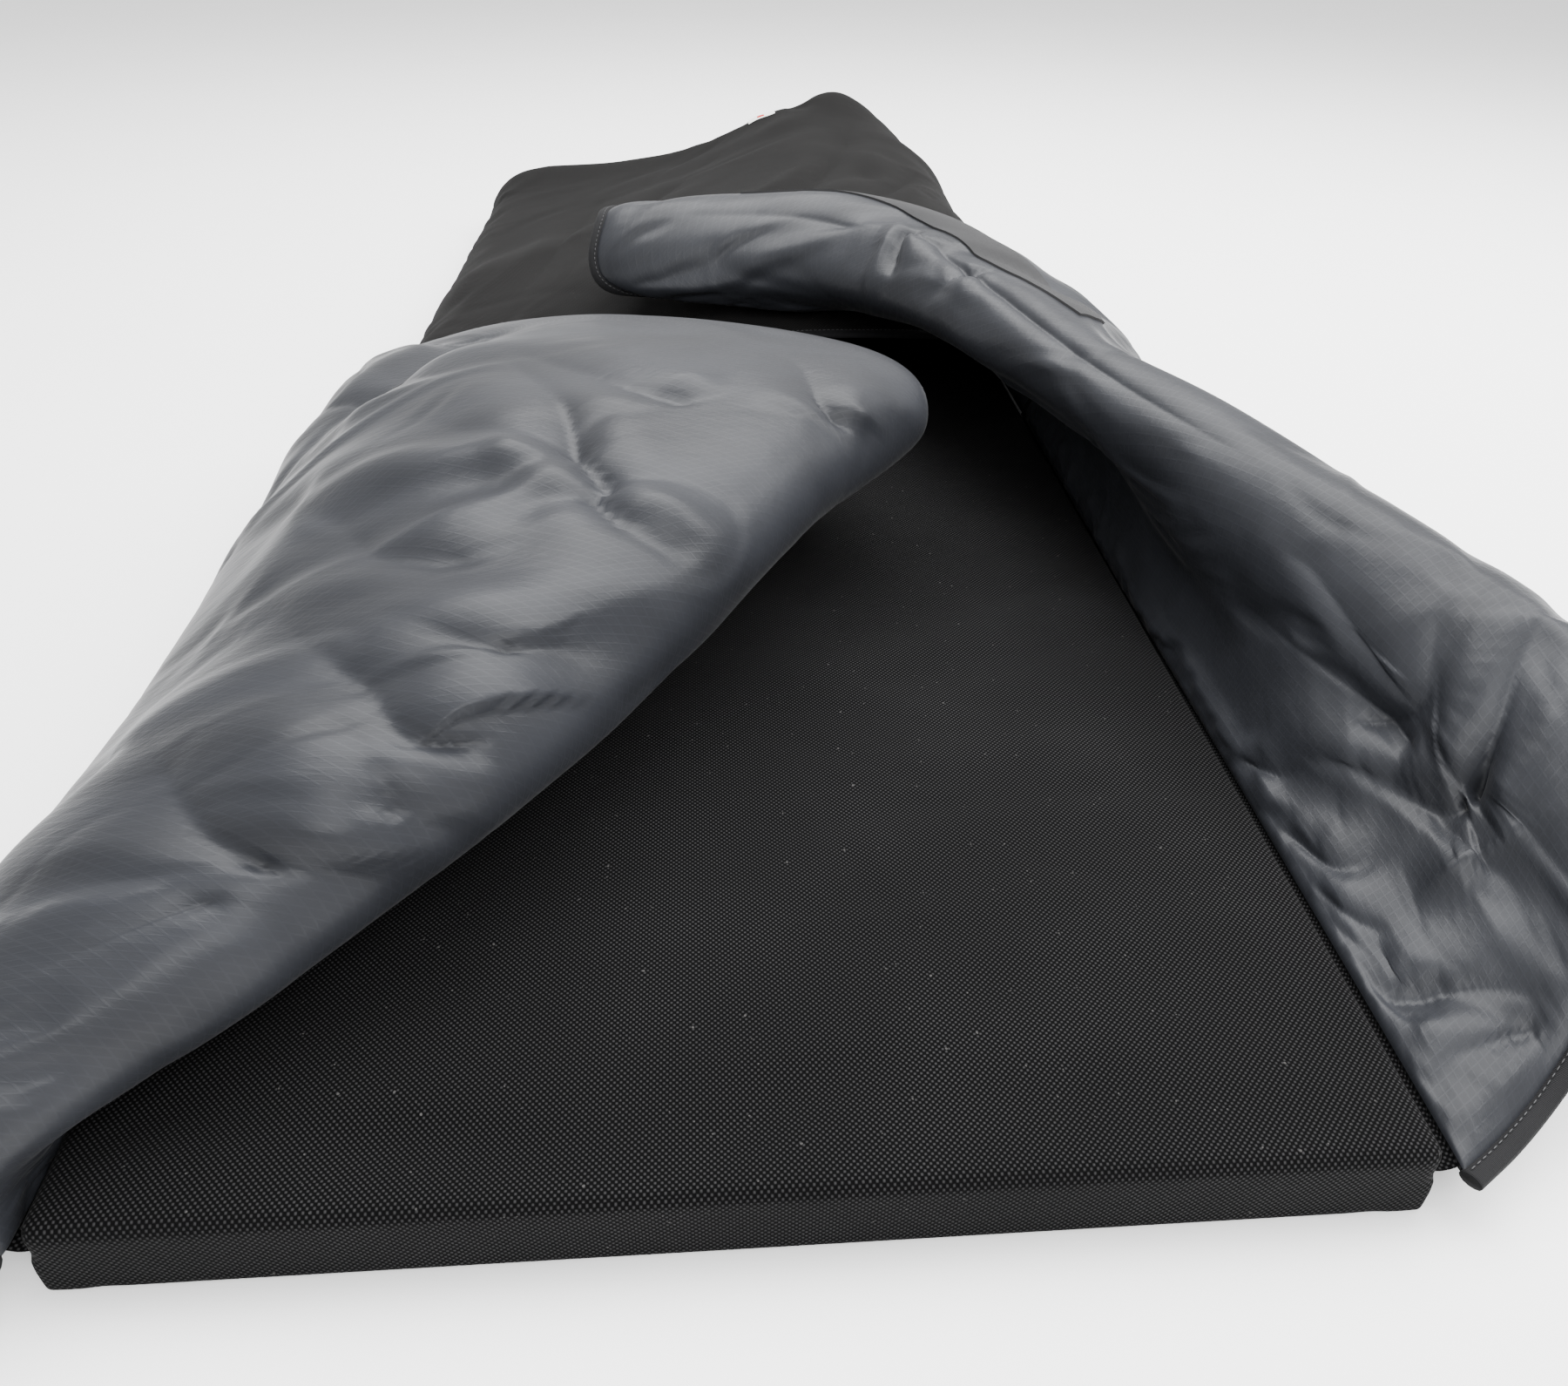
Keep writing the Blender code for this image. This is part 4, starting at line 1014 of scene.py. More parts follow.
LEFT_FLAP = Flap(
    "left_flap", "left_flap", -1,
    (
        ((0.000, 0.000, 0.030), (0.004, -0.004, 0.046), (0.010, -0.008, 0.062),
         (0.018, -0.008, 0.080), (0.034, -0.004, 0.096), (0.054, 0.004, 0.100),
         (0.070, 0.012, 0.088), (0.078, 0.018, 0.070), (0.080, 0.022, 0.052)),
        ((0.000, 0.125, 0.030), (0.006, 0.118, 0.052), (-0.024, 0.100, 0.070),
         (-0.080, 0.084, 0.078), (-0.122, 0.078, 0.102), (-0.094, 0.088, 0.130),
         (-0.014, 0.116, 0.128), (0.044, 0.138, 0.100), (0.062, 0.146, 0.066)),
        ((0.000, 0.285, 0.030), (0.014, 0.282, 0.068), (-0.070, 0.258, 0.104),
         (-0.290, 0.222, 0.112), (-0.374, 0.220, 0.144), (-0.318, 0.236, 0.180),
         (-0.150, 0.276, 0.178), (0.000, 0.316, 0.128), (0.044, 0.330, 0.068)),
        ((0.000, 0.490, 0.030), (0.018, 0.490, 0.074), (-0.110, 0.476, 0.124),
         (-0.520, 0.452, 0.134), (-0.620, 0.456, 0.170), (-0.545, 0.484, 0.208),
         (-0.250, 0.544, 0.210), (-0.014, 0.590, 0.148), (0.040, 0.606, 0.070)),
        ((0.000, 0.700, 0.030), (0.018, 0.700, 0.074), (-0.130, 0.680, 0.118),
         (-0.640, 0.618, 0.130), (-0.752, 0.610, 0.160), (-0.680, 0.636, 0.192),
         (-0.340, 0.704, 0.196), (-0.030, 0.766, 0.138), (0.036, 0.782, 0.070)),
        ((0.000, 0.885, 0.030), (0.016, 0.882, 0.070), (-0.120, 0.860, 0.106),
         (-0.480, 0.780, 0.114), (-0.590, 0.752, 0.138), (-0.525, 0.764, 0.168),
         (-0.290, 0.812, 0.158), (-0.050, 0.862, 0.112), (0.034, 0.880, 0.070)),
    ),
    (
        Fold(((5.15, 2.5), (5.4, 2.6), (5.6, 2.8), (5.95, 3.1)), 0.012, 0.0085, 0.0130, -0.45),
        Fold(((5.3, 2.5), (5.0, 2.42), (4.5, 2.4)), 0.012, 0.0075, 0.0100, -0.3),
        Fold(((4.45, 3.15), (4.8, 3.2), (5.2, 3.5)), 0.011, 0.0075, 0.0100, 0.3),
        Fold(((5.35, 2.62), (5.6, 2.62), (5.9, 2.65), (6.3, 2.8)), 0.004, 0.0130, 0.0120, -0.6),
        Fold(((5.4, 2.2), (5.8, 2.2), (6.1, 2.3), (6.8, 2.55)), 0.007, 0.0120, 0.0120, 0.5),
        Fold(((4.5, 1.8), (4.9, 1.7), (5.4, 1.8), (5.9, 1.92), (6.6, 2.2)), 0.010, 0.0105, 0.0140, 0.5),
        Fold(((4.8, 2.0), (5.2, 1.97), (5.7, 2.0)), 0.006, 0.0080, 0.0080, 0.3),
        Fold(((4.7, 1.3), (5.3, 1.3), (5.8, 1.4), (6.5, 1.6)), 0.010, 0.0105, 0.0140, 0.4),
        Fold(((4.5, 1.55), (4.9, 1.6), (5.6, 1.72)), 0.007, 0.0080, 0.0080, 0.2),
        Fold(((5.2, 2.92), (5.5, 2.95), (6.0, 3.2)), 0.007, 0.0100, 0.0100, 0.4),
        Fold(((4.85, 1.2), (5.1, 1.0), (5.4, 0.7)), 0.005, 0.0080, 0.0070),
        Fold(((7.0, 3.3), (6.4, 3.1), (6.0, 3.0)), 0.004, 0.0120, 0.0070),
    ),
    (Wrinkles(11, 30, (0.18, 0.45), (0.07, 0.13), 0.0075, 1.25, 0.45),),
    (Wrinkles(12, 36, (0.10, 0.26), (0.024, 0.046), 0.0034, 0.9, 0.5),
     Wrinkles(13, 70, (0.05, 0.14), (0.010, 0.018), 0.0014, 0.8, 0.5)),
    190, 128, 101, 4.0,
    FastenerTape("left_flap_loop_strip", "left_flap_loop_tape", "left_flap", 1, (6.5, 7.0), (2.5, 4.5)),
)

RIGHT_FLAP = Flap(
    "right_flap", "right_flap", 1,
    (
        ((0.000, 0.000, 0.030), (0.030, 0.018, 0.032), (0.064, 0.042, 0.040),
         (0.092, 0.064, 0.064), (0.112, 0.082, 0.100), (0.138, 0.094, 0.126),
         (0.172, 0.100, 0.126), (0.196, 0.100, 0.102)),
        ((0.000, 0.165, 0.030), (0.026, 0.172, 0.036), (0.058, 0.184, 0.058),
         (0.084, 0.200, 0.098), (0.104, 0.216, 0.138), (0.132, 0.230, 0.160),
         (0.170, 0.238, 0.148), (0.194, 0.240, 0.112)),
        ((0.000, 0.335, 0.030), (0.024, 0.335, 0.050), (0.036, 0.336, 0.088),
         (0.040, 0.338, 0.130), (0.050, 0.344, 0.166), (0.080, 0.354, 0.182),
         (0.118, 0.362, 0.162), (0.140, 0.364, 0.116)),
        ((0.000, 0.500, 0.030), (0.014, 0.500, 0.064), (0.018, 0.502, 0.112),
         (-0.022, 0.506, 0.150), (-0.052, 0.516, 0.178), (-0.028, 0.538, 0.200),
         (0.018, 0.560, 0.186), (0.052, 0.572, 0.138)),
        ((0.000, 0.680, 0.030), (0.014, 0.682, 0.076), (0.004, 0.690, 0.132),
         (-0.090, 0.698, 0.160), (-0.176, 0.706, 0.182), (-0.160, 0.744, 0.216),
         (-0.072, 0.784, 0.212), (0.020, 0.806, 0.172)),
        ((0.000, 0.820, 0.030), (0.012, 0.824, 0.084), (-0.010, 0.846, 0.146),
         (-0.190, 0.872, 0.162), (-0.340, 0.884, 0.180), (-0.330, 0.930, 0.228),
         (-0.250, 0.988, 0.216), (-0.180, 1.018, 0.176)),
        ((0.000, 0.896, 0.030), (0.012, 0.900, 0.084), (-0.056, 0.936, 0.150),
         (-0.420, 0.946, 0.152), (-0.676, 0.936, 0.168), (-0.684, 0.978, 0.224),
         (-0.650, 1.040, 0.212), (-0.620, 1.074, 0.176)),
    ),
    (
        Fold(((3.0, 0.9), (3.4, 0.92), (4.1, 1.0), (5.4, 1.25)), 0.015, 0.0105, 0.0150, -0.2),
        Fold(((3.0, 0.9), (2.7, 0.95), (2.3, 1.2)), 0.010, 0.0100, 0.0100),
        Fold(((1.7, 0.8), (2.8, 0.7), (4.1, 0.5)), -0.006, 0.014, 0.0, both=True),
        Fold(((5.3, 4.5), (4.9, 4.55), (4.4, 4.5)), 0.012, 0.0065, 0.0075, both=True),
        Fold(((5.2, 4.4), (4.9, 3.7), (4.7, 3.0), (4.6, 2.4)), 0.007, 0.0065, 0.0040),
        Fold(((5.4, 4.0), (4.9, 4.1), (4.3, 4.25)), 0.008, 0.007, 0.0060),
        Fold(((2.9, 1.2), (2.8, 1.6), (2.4, 2.3)), 0.008, 0.0130, 0.0120, 0.3),
        Fold(((2.5, 1.5), (3.4, 1.3), (4.3, 1.5)), 0.007, 0.0120, 0.0100, -0.4),
        Fold(((0.2, 1.8), (0.9, 1.6), (1.8, 1.5)), 0.006, 0.007, 0.0045),
        Fold(((0.2, 1.4), (0.9, 1.1), (1.9, 1.0)), 0.006, 0.007, 0.0045),
        Fold(((0.2, 1.1), (0.6, 0.9), (1.4, 0.7)), 0.006, 0.006, 0.0040),
        Fold(((0.2, 0.8), (0.4, 0.5), (1.2, 0.4)), 0.006, 0.006, 0.0040),
        Fold(((0.2, 0.6), (1.7, 0.4), (2.6, 0.15)), 0.006, 0.008, 0.0045),
        Fold(((2.4, 0.12), (1.1, 0.25), (0.2, 0.3)), 0.005, 0.007, 0.0035),
        Fold(((4.9, 4.8), (4.9, 5.2), (4.9, 5.6), (4.9, 5.9)), 0.005, 0.009, 0.0040),
    ),
    (Wrinkles(21, 28, (0.18, 0.46), (0.07, 0.13), 0.0065, 1.3, 0.45),),
    (Wrinkles(22, 36, (0.10, 0.28), (0.024, 0.046), 0.0034, 1.0, 0.5),
     Wrinkles(23, 70, (0.05, 0.15), (0.010, 0.018), 0.0014, 1.0, 0.5)),
    140, 150, 201, 2.0,
    FastenerTape("right_flap_hook_strip", "right_flap_hook_tape", "right_flap", -1, (5.5, 6.0),
                 (3.5, 5.5)),
)


@dataclass
class FootCover:
    """The closed cover over the feet, sewn to the mat on three sides, with its label."""

    columns: int = 132
    lines: int = 116
    label_length: float = 0.046
    label_width: float = 0.018
    end_rows: tuple[tuple[float, float, float], ...] = ((0.012, 0.60, 0.35), (0.0104, 0.0, 1.0))
    end_places: tuple[float, ...] = (-0.965, -0.900, -0.760, -0.420, 0.030, 0.420, 0.720, 0.900,
                                     0.965)
    start: float = 0.920
    net: tuple[Row, ...] = (
        ((-1.000, -0.006, 0.030), (-1.004, -0.004, 0.058), (-0.890, 0.002, 0.084),
         (-0.500, 0.000, 0.106), (0.000, -0.004, 0.118), (0.450, -0.004, 0.122),
         (0.880, -0.002, 0.112), (1.030, -0.004, 0.074), (1.000, -0.010, 0.030)),
        ((-1.000, 0.240, 0.030), (-1.004, 0.240, 0.058), (-0.890, 0.240, 0.084),
         (-0.480, 0.240, 0.114), (0.000, 0.240, 0.144), (0.450, 0.240, 0.158),
         (0.870, 0.240, 0.142), (1.060, 0.240, 0.086), (1.000, 0.240, 0.030)),
        ((-1.000, 0.520, 0.030), (-1.004, 0.520, 0.056), (-0.880, 0.520, 0.078),
         (-0.470, 0.520, 0.100), (0.000, 0.520, 0.136), (0.450, 0.520, 0.164),
         (0.870, 0.520, 0.148), (1.070, 0.520, 0.090), (1.000, 0.520, 0.030)),
        ((-1.000, 0.740, 0.030), (-1.000, 0.740, 0.056), (-0.860, 0.740, 0.076),
         (-0.450, 0.745, 0.092), (0.000, 0.750, 0.124), (0.420, 0.755, 0.170),
         (0.800, 0.750, 0.168), (1.050, 0.740, 0.094), (1.000, 0.740, 0.030)),
        ((-1.000, 0.846, 0.030), (-1.000, 0.848, 0.058), (-0.870, 0.852, 0.086),
         (-0.420, 0.856, 0.098), (0.030, 0.862, 0.132), (0.420, 0.868, 0.186),
         (0.700, 0.866, 0.190), (1.000, 0.850, 0.092), (1.000, 0.846, 0.030)),
    )
    folds: tuple[Fold, ...] = (
        Fold(((2.9, 0.6), (3.4, 1.7), (3.9, 2.4)), 0.004, 0.016, 0.005, both=True),
        Fold(((4.6, 1.2), (5.1, 1.8), (5.8, 3.2)), 0.006, 0.018, 0.007, both=True),
        Fold(((5.3, 1.2), (6.1, 2.1)), 0.005, 0.014, 0.005, both=True),
        Fold(((2.6, 0.6), (2.8, 1.3), (3.0, 2.4)), 0.004, 0.016, 0.004, both=True),
    )

    def rows(self) -> list[list[np.ndarray]]:
        """The cover's net as places, with the rows that close its end."""
        half = MAT_WIDTH / 2
        found = []
        for row in self.net:
            line = []
            for across, run, height in row:
                far = abs(across)
                out = ROOT + (far - 1) * half if far >= 1 else far * half
                line.append(np.array((math.copysign(out, across), HEAD_Y + self.start + run, height)))
            found.append(line)
        last = found[-1]
        for past, left, moved in self.end_rows:
            found.append([np.array((p[0] + (place * half - p[0]) * moved, MAT_LENGTH / 2 + past,
                                    SEAM_HEIGHT + (p[2] - SEAM_HEIGHT) * left))
                          for p, place in zip(last, self.end_places)])
        return found

    def build(self, palette: Palette) -> None:
        """Makes the quilt, the binding of its open edge, and the label."""
        sheet = DrapedSheet("foot_cover_quilt", self.rows(), 1, self.columns, self.lines)
        broad = (Wrinkles(31, 22, (0.20, 0.50), (0.08, 0.15), -0.0060, 0.8, 0.5),)
        fine = (Wrinkles(32, 40, (0.08, 0.24), (0.022, 0.050), 0.0020, 0.9, 0.6),)
        quilt = make_quilt(sheet, (), self.folds, broad, fine, 301, -1.0)
        dress(quilt, palette.lining, palette.foot_canvas)
        finished(quilt, "mat", "black_canvas", *("foot_cover_" + n for n in SOFT_LAYERS))
        trim(sheet, "foot_cover", "head", "mat", palette.binding, palette.thread)
        self.label(quilt, palette)

    def label(self, quilt: bpy.types.Object, palette: Palette) -> None:
        """A small woven label with a plain red patch, lying on the cover near its far hem."""
        low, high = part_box("label_patch")
        middle = (Vector(low) + Vector(high)) / 2
        tree = BVHTree.FromObject(quilt, bpy.context.evaluated_depsgraph_get())
        place, up, _, _ = tree.find_nearest(middle)
        x = Vector((1, 0.12, 0))
        x = (x - up * x.dot(up)).normalized()
        y = up.cross(x)
        for name, length, width, shift, rise, finish in (
                ("label_patch_cloth", self.label_length, self.label_width, 0.0, 0.0008, palette.label),
                ("label_patch_mark", 0.011, 0.0075, 0.0, 0.00125, palette.patch)):
            bpy.ops.object.select_all(action="DESELECT")
            bpy.ops.mesh.primitive_grid_add(x_subdivisions=18, y_subdivisions=8, size=1)
            obj = bpy.context.object
            obj.name = name
            for v in obj.data.vertices:
                spot = place + x * (v.co.x * length + shift) + y * (v.co.y * width)
                near, turned, _, _ = tree.find_nearest(spot)
                v.co = near + turned * rise
            wall = obj.modifiers.new("wall", "SOLIDIFY")
            wall.thickness = 0.0006
            wall.offset = 1
            bpy.ops.object.modifier_apply(modifier=wall.name)
            bpy.ops.object.shade_smooth()
            uv_by_size(obj, x, y)
            dress(obj, finish)
            finished(obj, "mat", "label_cloth", *(("label_patch",) if rise < 0.001 else ()))


def uv_by_size(obj: bpy.types.Object, x: Vector, y: Vector) -> None:
    """Gives a small flat piece cloth coordinates along two directions."""
    layers = obj.data.uv_layers
    layer = layers[0] if layers else layers.new(name=UV_NAME)
    layer.name = UV_NAME
    for loop in obj.data.loops:
        point = obj.data.vertices[loop.vertex_index].co
        layer.data[loop.index].uv = (point.dot(x), point.dot(y))


# ------------------------------------------------------------------------------ mat
@dataclass
class MatPad:
    """The padded mat in its canvas cover."""

    voxel: float = 0.0075
    plan_radius: float = 0.004
    edge_radius: float = 0.013
    top_radius: float = 0.009
    foot_radius: float = 0.003

    def blank(self) -> bpy.types.Object:
        """A slab with rounded corners and edges, made an even grid."""
        bpy.ops.object.select_all(action="DESELECT")
        bpy.ops.mesh.primitive_cube_add(size=1, location=(0, 0, MAT_HEIGHT / 2),
                                        scale=(MAT_WIDTH, MAT_LENGTH, MAT_HEIGHT))
        obj = bpy.context.object
        obj.name = "mat_cover"
        bpy.ops.object.transform_apply(location=True, rotation=True, scale=True)
        for upright, width, parts in ((True, self.plan_radius, 4), (False, self.edge_radius, 5)):
            work = bmesh.new()
            work.from_mesh(obj.data)
            for edge in work.edges:
                a, b = (v.co for v in edge.verts)
                stands = abs(a.z - b.z) > 0.01
                top = min(a.z, b.z) > MAT_HEIGHT - 0.001
                edge.select = stands if upright else top
            work.to_mesh(obj.data)
            work.free()
            bpy.ops.object.mode_set(mode="EDIT")
            bpy.ops.mesh.select_mode(type="EDGE")
            bpy.ops.mesh.bevel(offset=width, segments=parts)
            bpy.ops.object.mode_set(mode="OBJECT")
        grid = obj.modifiers.new("grid", "REMESH")
        grid.mode = "VOXEL"
        grid.voxel_size = self.voxel
        bpy.ops.object.modifier_apply(modifier=grid.name)
        self.fit(obj)
        return obj

    def fit(self, obj: bpy.types.Object) -> None:
        """Lays the grid on the slab's true outline, because the remesh stands proud of it."""
        points = coordinates_of(obj.data)
        radius = np.where(points[:, 2] > MAT_HEIGHT / 2, self.top_radius, self.foot_radius)[:, None]
        half = np.array([MAT_WIDTH / 2, MAT_LENGTH / 2, MAT_HEIGHT / 2])
        centre = np.array([0.0, 0.0, MAT_HEIGHT / 2])
        core = np.clip(points, centre - half + radius, centre + half - radius)
        out = points - core
        out /= np.linalg.norm(out, axis=1, keepdims=True) + 1e-12
        obj.data.vertices.foreach_set("co", (core + out * radius).astype(np.float32).ravel())
        obj.data.update()

    def shape(self, obj: bpy.types.Object) -> None:
        """Draws the cover in at its seam and lays its soft wrinkles."""
        points = coordinates_of(obj.data)
        x, y, z = points.T
        top = np.clip((z - 0.026) / 0.018, 0, 1)
        edge = np.minimum(MAT_WIDTH / 2 - np.abs(x), MAT_LENGTH / 2 - np.abs(y))
        crown = 1 - np.exp(-np.clip(edge, 0, 1) / 0.030)
        broad = Wrinkles(41, 70, (0.25, 0.60), (0.024, 0.060), 0.0036, 0.12, 0.22).relief(x, y)
        fine = Wrinkles(42, 130, (0.05, 0.20), (0.008, 0.020), 0.0010, 0.2, 0.5).relief(x, y)
        near = np.exp(-((y + MAT_LENGTH / 2 - 0.05) / 0.10) ** 2)
        rise = (broad * (0.4 + near * 0.8) + fine) * top * np.clip(edge / 0.03, 0, 1)
        z = z + np.clip(rise, -0.0045, 0.0016) - 0.0010 * top * (1 - crown)
        side = np.clip(1 - edge / 0.012, 0, 1) * np.clip(z / 0.006, 0, 1)
        seam = np.exp(-((z - SEAM_HEIGHT) / 0.004) ** 2)
        along_side = np.clip((MAT_LENGTH / 2 - 0.02 - np.abs(y)) / 0.03, 0, 1)
        ripple = puckers(y, np.abs(z - SEAM_HEIGHT), 0.045, 0.016, 0.0014, 43)
        ripple_x = puckers(x, np.abs(z - SEAM_HEIGHT), 0.040, 0.016, 0.0014, 44)
        pull = side * 0.0009 * seam * along_side
        flank = np.abs(x) > MAT_WIDTH / 2 - 0.004
        x = np.where(flank, x - np.sign(x) * (pull - side * ripple * 0.2), x)
        end = np.abs(y) > MAT_LENGTH / 2 - 0.004
        y = np.where(end, y + np.sign(y) * side * (ripple_x * 0.25 - 0.0004), y)
        moved = np.stack([x, y, np.maximum(z, 0.0)], axis=1).astype(np.float32)
        obj.data.vertices.foreach_set("co", moved.ravel())
        obj.data.update()

    def build(self, palette: Palette) -> None:
        """Makes the mat's cover."""
        obj = self.blank()
        self.shape(obj)
        soften(obj)
        points = coordinates_of(obj.data)
        points[:, 2] = np.maximum(points[:, 2], 0.0)
        obj.data.vertices.foreach_set("co", points.astype(np.float32).ravel())
        self.wrap_cloth(obj)
        dress(obj, palette.mat_canvas)
        finished(obj, "mat", "black_canvas", "mat_top_cover", "mat_bottom_cover", "mat_comfort_felt",
                 "mat_foam_core")

    def wrap_cloth(self, obj: bpy.types.Object) -> None:
        """Cloth coordinates that run over the top and down the sides without a stretch."""
        mesh = obj.data
        for old in list(mesh.uv_layers):
            mesh.uv_layers.remove(old)
        layer = mesh.uv_layers.new(name=UV_NAME)
        points = coordinates_of(mesh)
        corner = np.empty(len(mesh.loops), np.int32)
        mesh.loops.foreach_get("vertex_index", corner)
        turn = np.empty(len(mesh.polygons) * 3, np.float32)
        mesh.polygons.foreach_get("normal", turn)
        turn = np.abs(turn.reshape(-1, 3))
        count = np.empty(len(mesh.polygons), np.int32)
        mesh.polygons.foreach_get("loop_total", count)
        normal = np.repeat(turn, count, axis=0)
        place = points[corner]
        on_end = (normal[:, 1] > normal[:, 2]) & (normal[:, 1] >= normal[:, 0])
        on_side = (normal[:, 0] > normal[:, 2]) & ~on_end
        flat = place[:, :2].copy()
        flat[on_end] = np.stack([place[on_end, 0],
                                 np.sign(place[on_end, 1]) * (MAT_LENGTH / 2 + MAT_HEIGHT
                                                              - place[on_end, 2])], axis=1)
        flat[on_side] = np.stack([np.sign(place[on_side, 0]) * (MAT_WIDTH / 2 + MAT_HEIGHT
                                                                - place[on_side, 2]),
                                  place[on_side, 1]], axis=1)
        layer.data.foreach_set("uv", flat.astype(np.float32).ravel())


@dataclass
class Pipings:
    """The piping cords along the seams, covered in bias-cut canvas."""

    radius: float = 0.003

    def build(self, palette: Palette) -> None:
        """Makes the three cords."""
        x = MAT_WIDTH / 2 + 0.0033
        near, far = HEAD_Y + 0.014, MAT_LENGTH / 2 - 0.036
        end = MAT_LENGTH / 2 + 0.0033
        wide = MAT_WIDTH / 2 - 0.014
        for name, a, b in (("side_piping_left", (-x, near), (-x, far)),
                           ("side_piping_right", (x, near), (x, far)),
                           ("foot_piping", (-wide, end), (wide, end))):
            steps = np.linspace(0, 1, 240)[:, None]
            path = np.array([*a, SEAM_HEIGHT]) * (1 - steps) + np.array([*b, SEAM_HEIGHT]) * steps
            cord = tube(name + "_cord", path, np.array([[0.0, 0, 1]] * 240),
                        oval(2 * self.radius, 2 * self.radius, 14))
            points = coordinates_of(cord.data)
            dice = np.sin(points[:, 1] * 900 + points[:, 0] * 800) * 0.00008
            points[:, 2] += dice
            cord.data.vertices.foreach_set("co", points.astype(np.float32).ravel())
            dress(cord, palette.binding)
            finished(cord, "mat", "black_canvas", name)


@dataclass
class SeamStrips:
    """The canvas strips under the pipings, sewn to the mat on one side and to a flap on the other."""

    thick: float = 0.0010
    tuck: float = 0.005
    flange_width: float = 0.0210
    flange_thick: float = 0.0012
    flange_height: float = 0.0272
    side_reach: float = 0.0115       # middle of a side flange, out from the tuck
    foot_reach: float = 0.0068
    flap_end: float = 0.908          # where the flaps end, from the head end
    profile: tuple[Spot, ...] = ((0.3200, 0.0285), (0.3240, 0.0262), (0.3283, 0.0254),
                                 (0.3325, 0.0262), (0.3362, 0.0285), (0.3382, 0.0330))

    def flanges(self, palette: Palette) -> None:
        """The pipings' flat edges, sewn under the mat's seam where no flap is."""
        x, y = MAT_WIDTH / 2 - self.tuck, MAT_LENGTH / 2 - self.tuck
        wide, high = self.flange_width / 2, self.flange_thick / 2
        section = [(-wide, -high), (wide, -high), (wide, high), (-wide, high)]
        side, start = x + self.side_reach, HEAD_Y + self.flap_end
        for name, a, b in (("left", (-side, start), (-side, y)), ("right", (side, start), (side, y)),
                           ("foot", (-x, y + self.foot_reach), (x, y + self.foot_reach))):
            share = np.linspace(0, 1, 120)[:, None]
            path = (np.array([*a, self.flange_height]) * (1 - share)
                    + np.array([*b, self.flange_height]) * share)
            flange = tube(f"piping_flange_{name}", path, np.array([[0.0, 0, 1]] * 120), section)
            dress(flange, palette.flap_canvas)
            finished(flange, "mat", "black_canvas")

    def build(self, palette: Palette) -> None:
        """Makes the strips."""
        self.flanges(palette)
        steps = np.linspace(0, 1, 9)
        curve = catmull(np.array(self.profile), steps * (len(self.profile) - 1))
        turn = np.gradient(curve, axis=0)
        turn /= np.linalg.norm(turn, axis=1, keepdims=True)
        over = curve + np.stack([-turn[:, 1], turn[:, 0]], axis=1) * self.thick
        outline = np.concatenate([curve, over[::-1]])
        ys = np.linspace(HEAD_Y + 0.006, HEAD_Y + 0.905, 150)
        for side, flap in ((-1, "left_flap"), (1, "right_flap")):
            path = np.stack([np.zeros(150), ys, np.zeros(150)], axis=1)
            strip = tube(f"{flap}_seam_strip", path, np.array([[0.0, 0, 1]] * 150),
                         [(side * x, z) for x, z in outline][::side])
            dress(strip, palette.flap_canvas)
            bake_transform(strip)
            log.info("%s: %d faces", strip.name, len(strip.data.polygons))


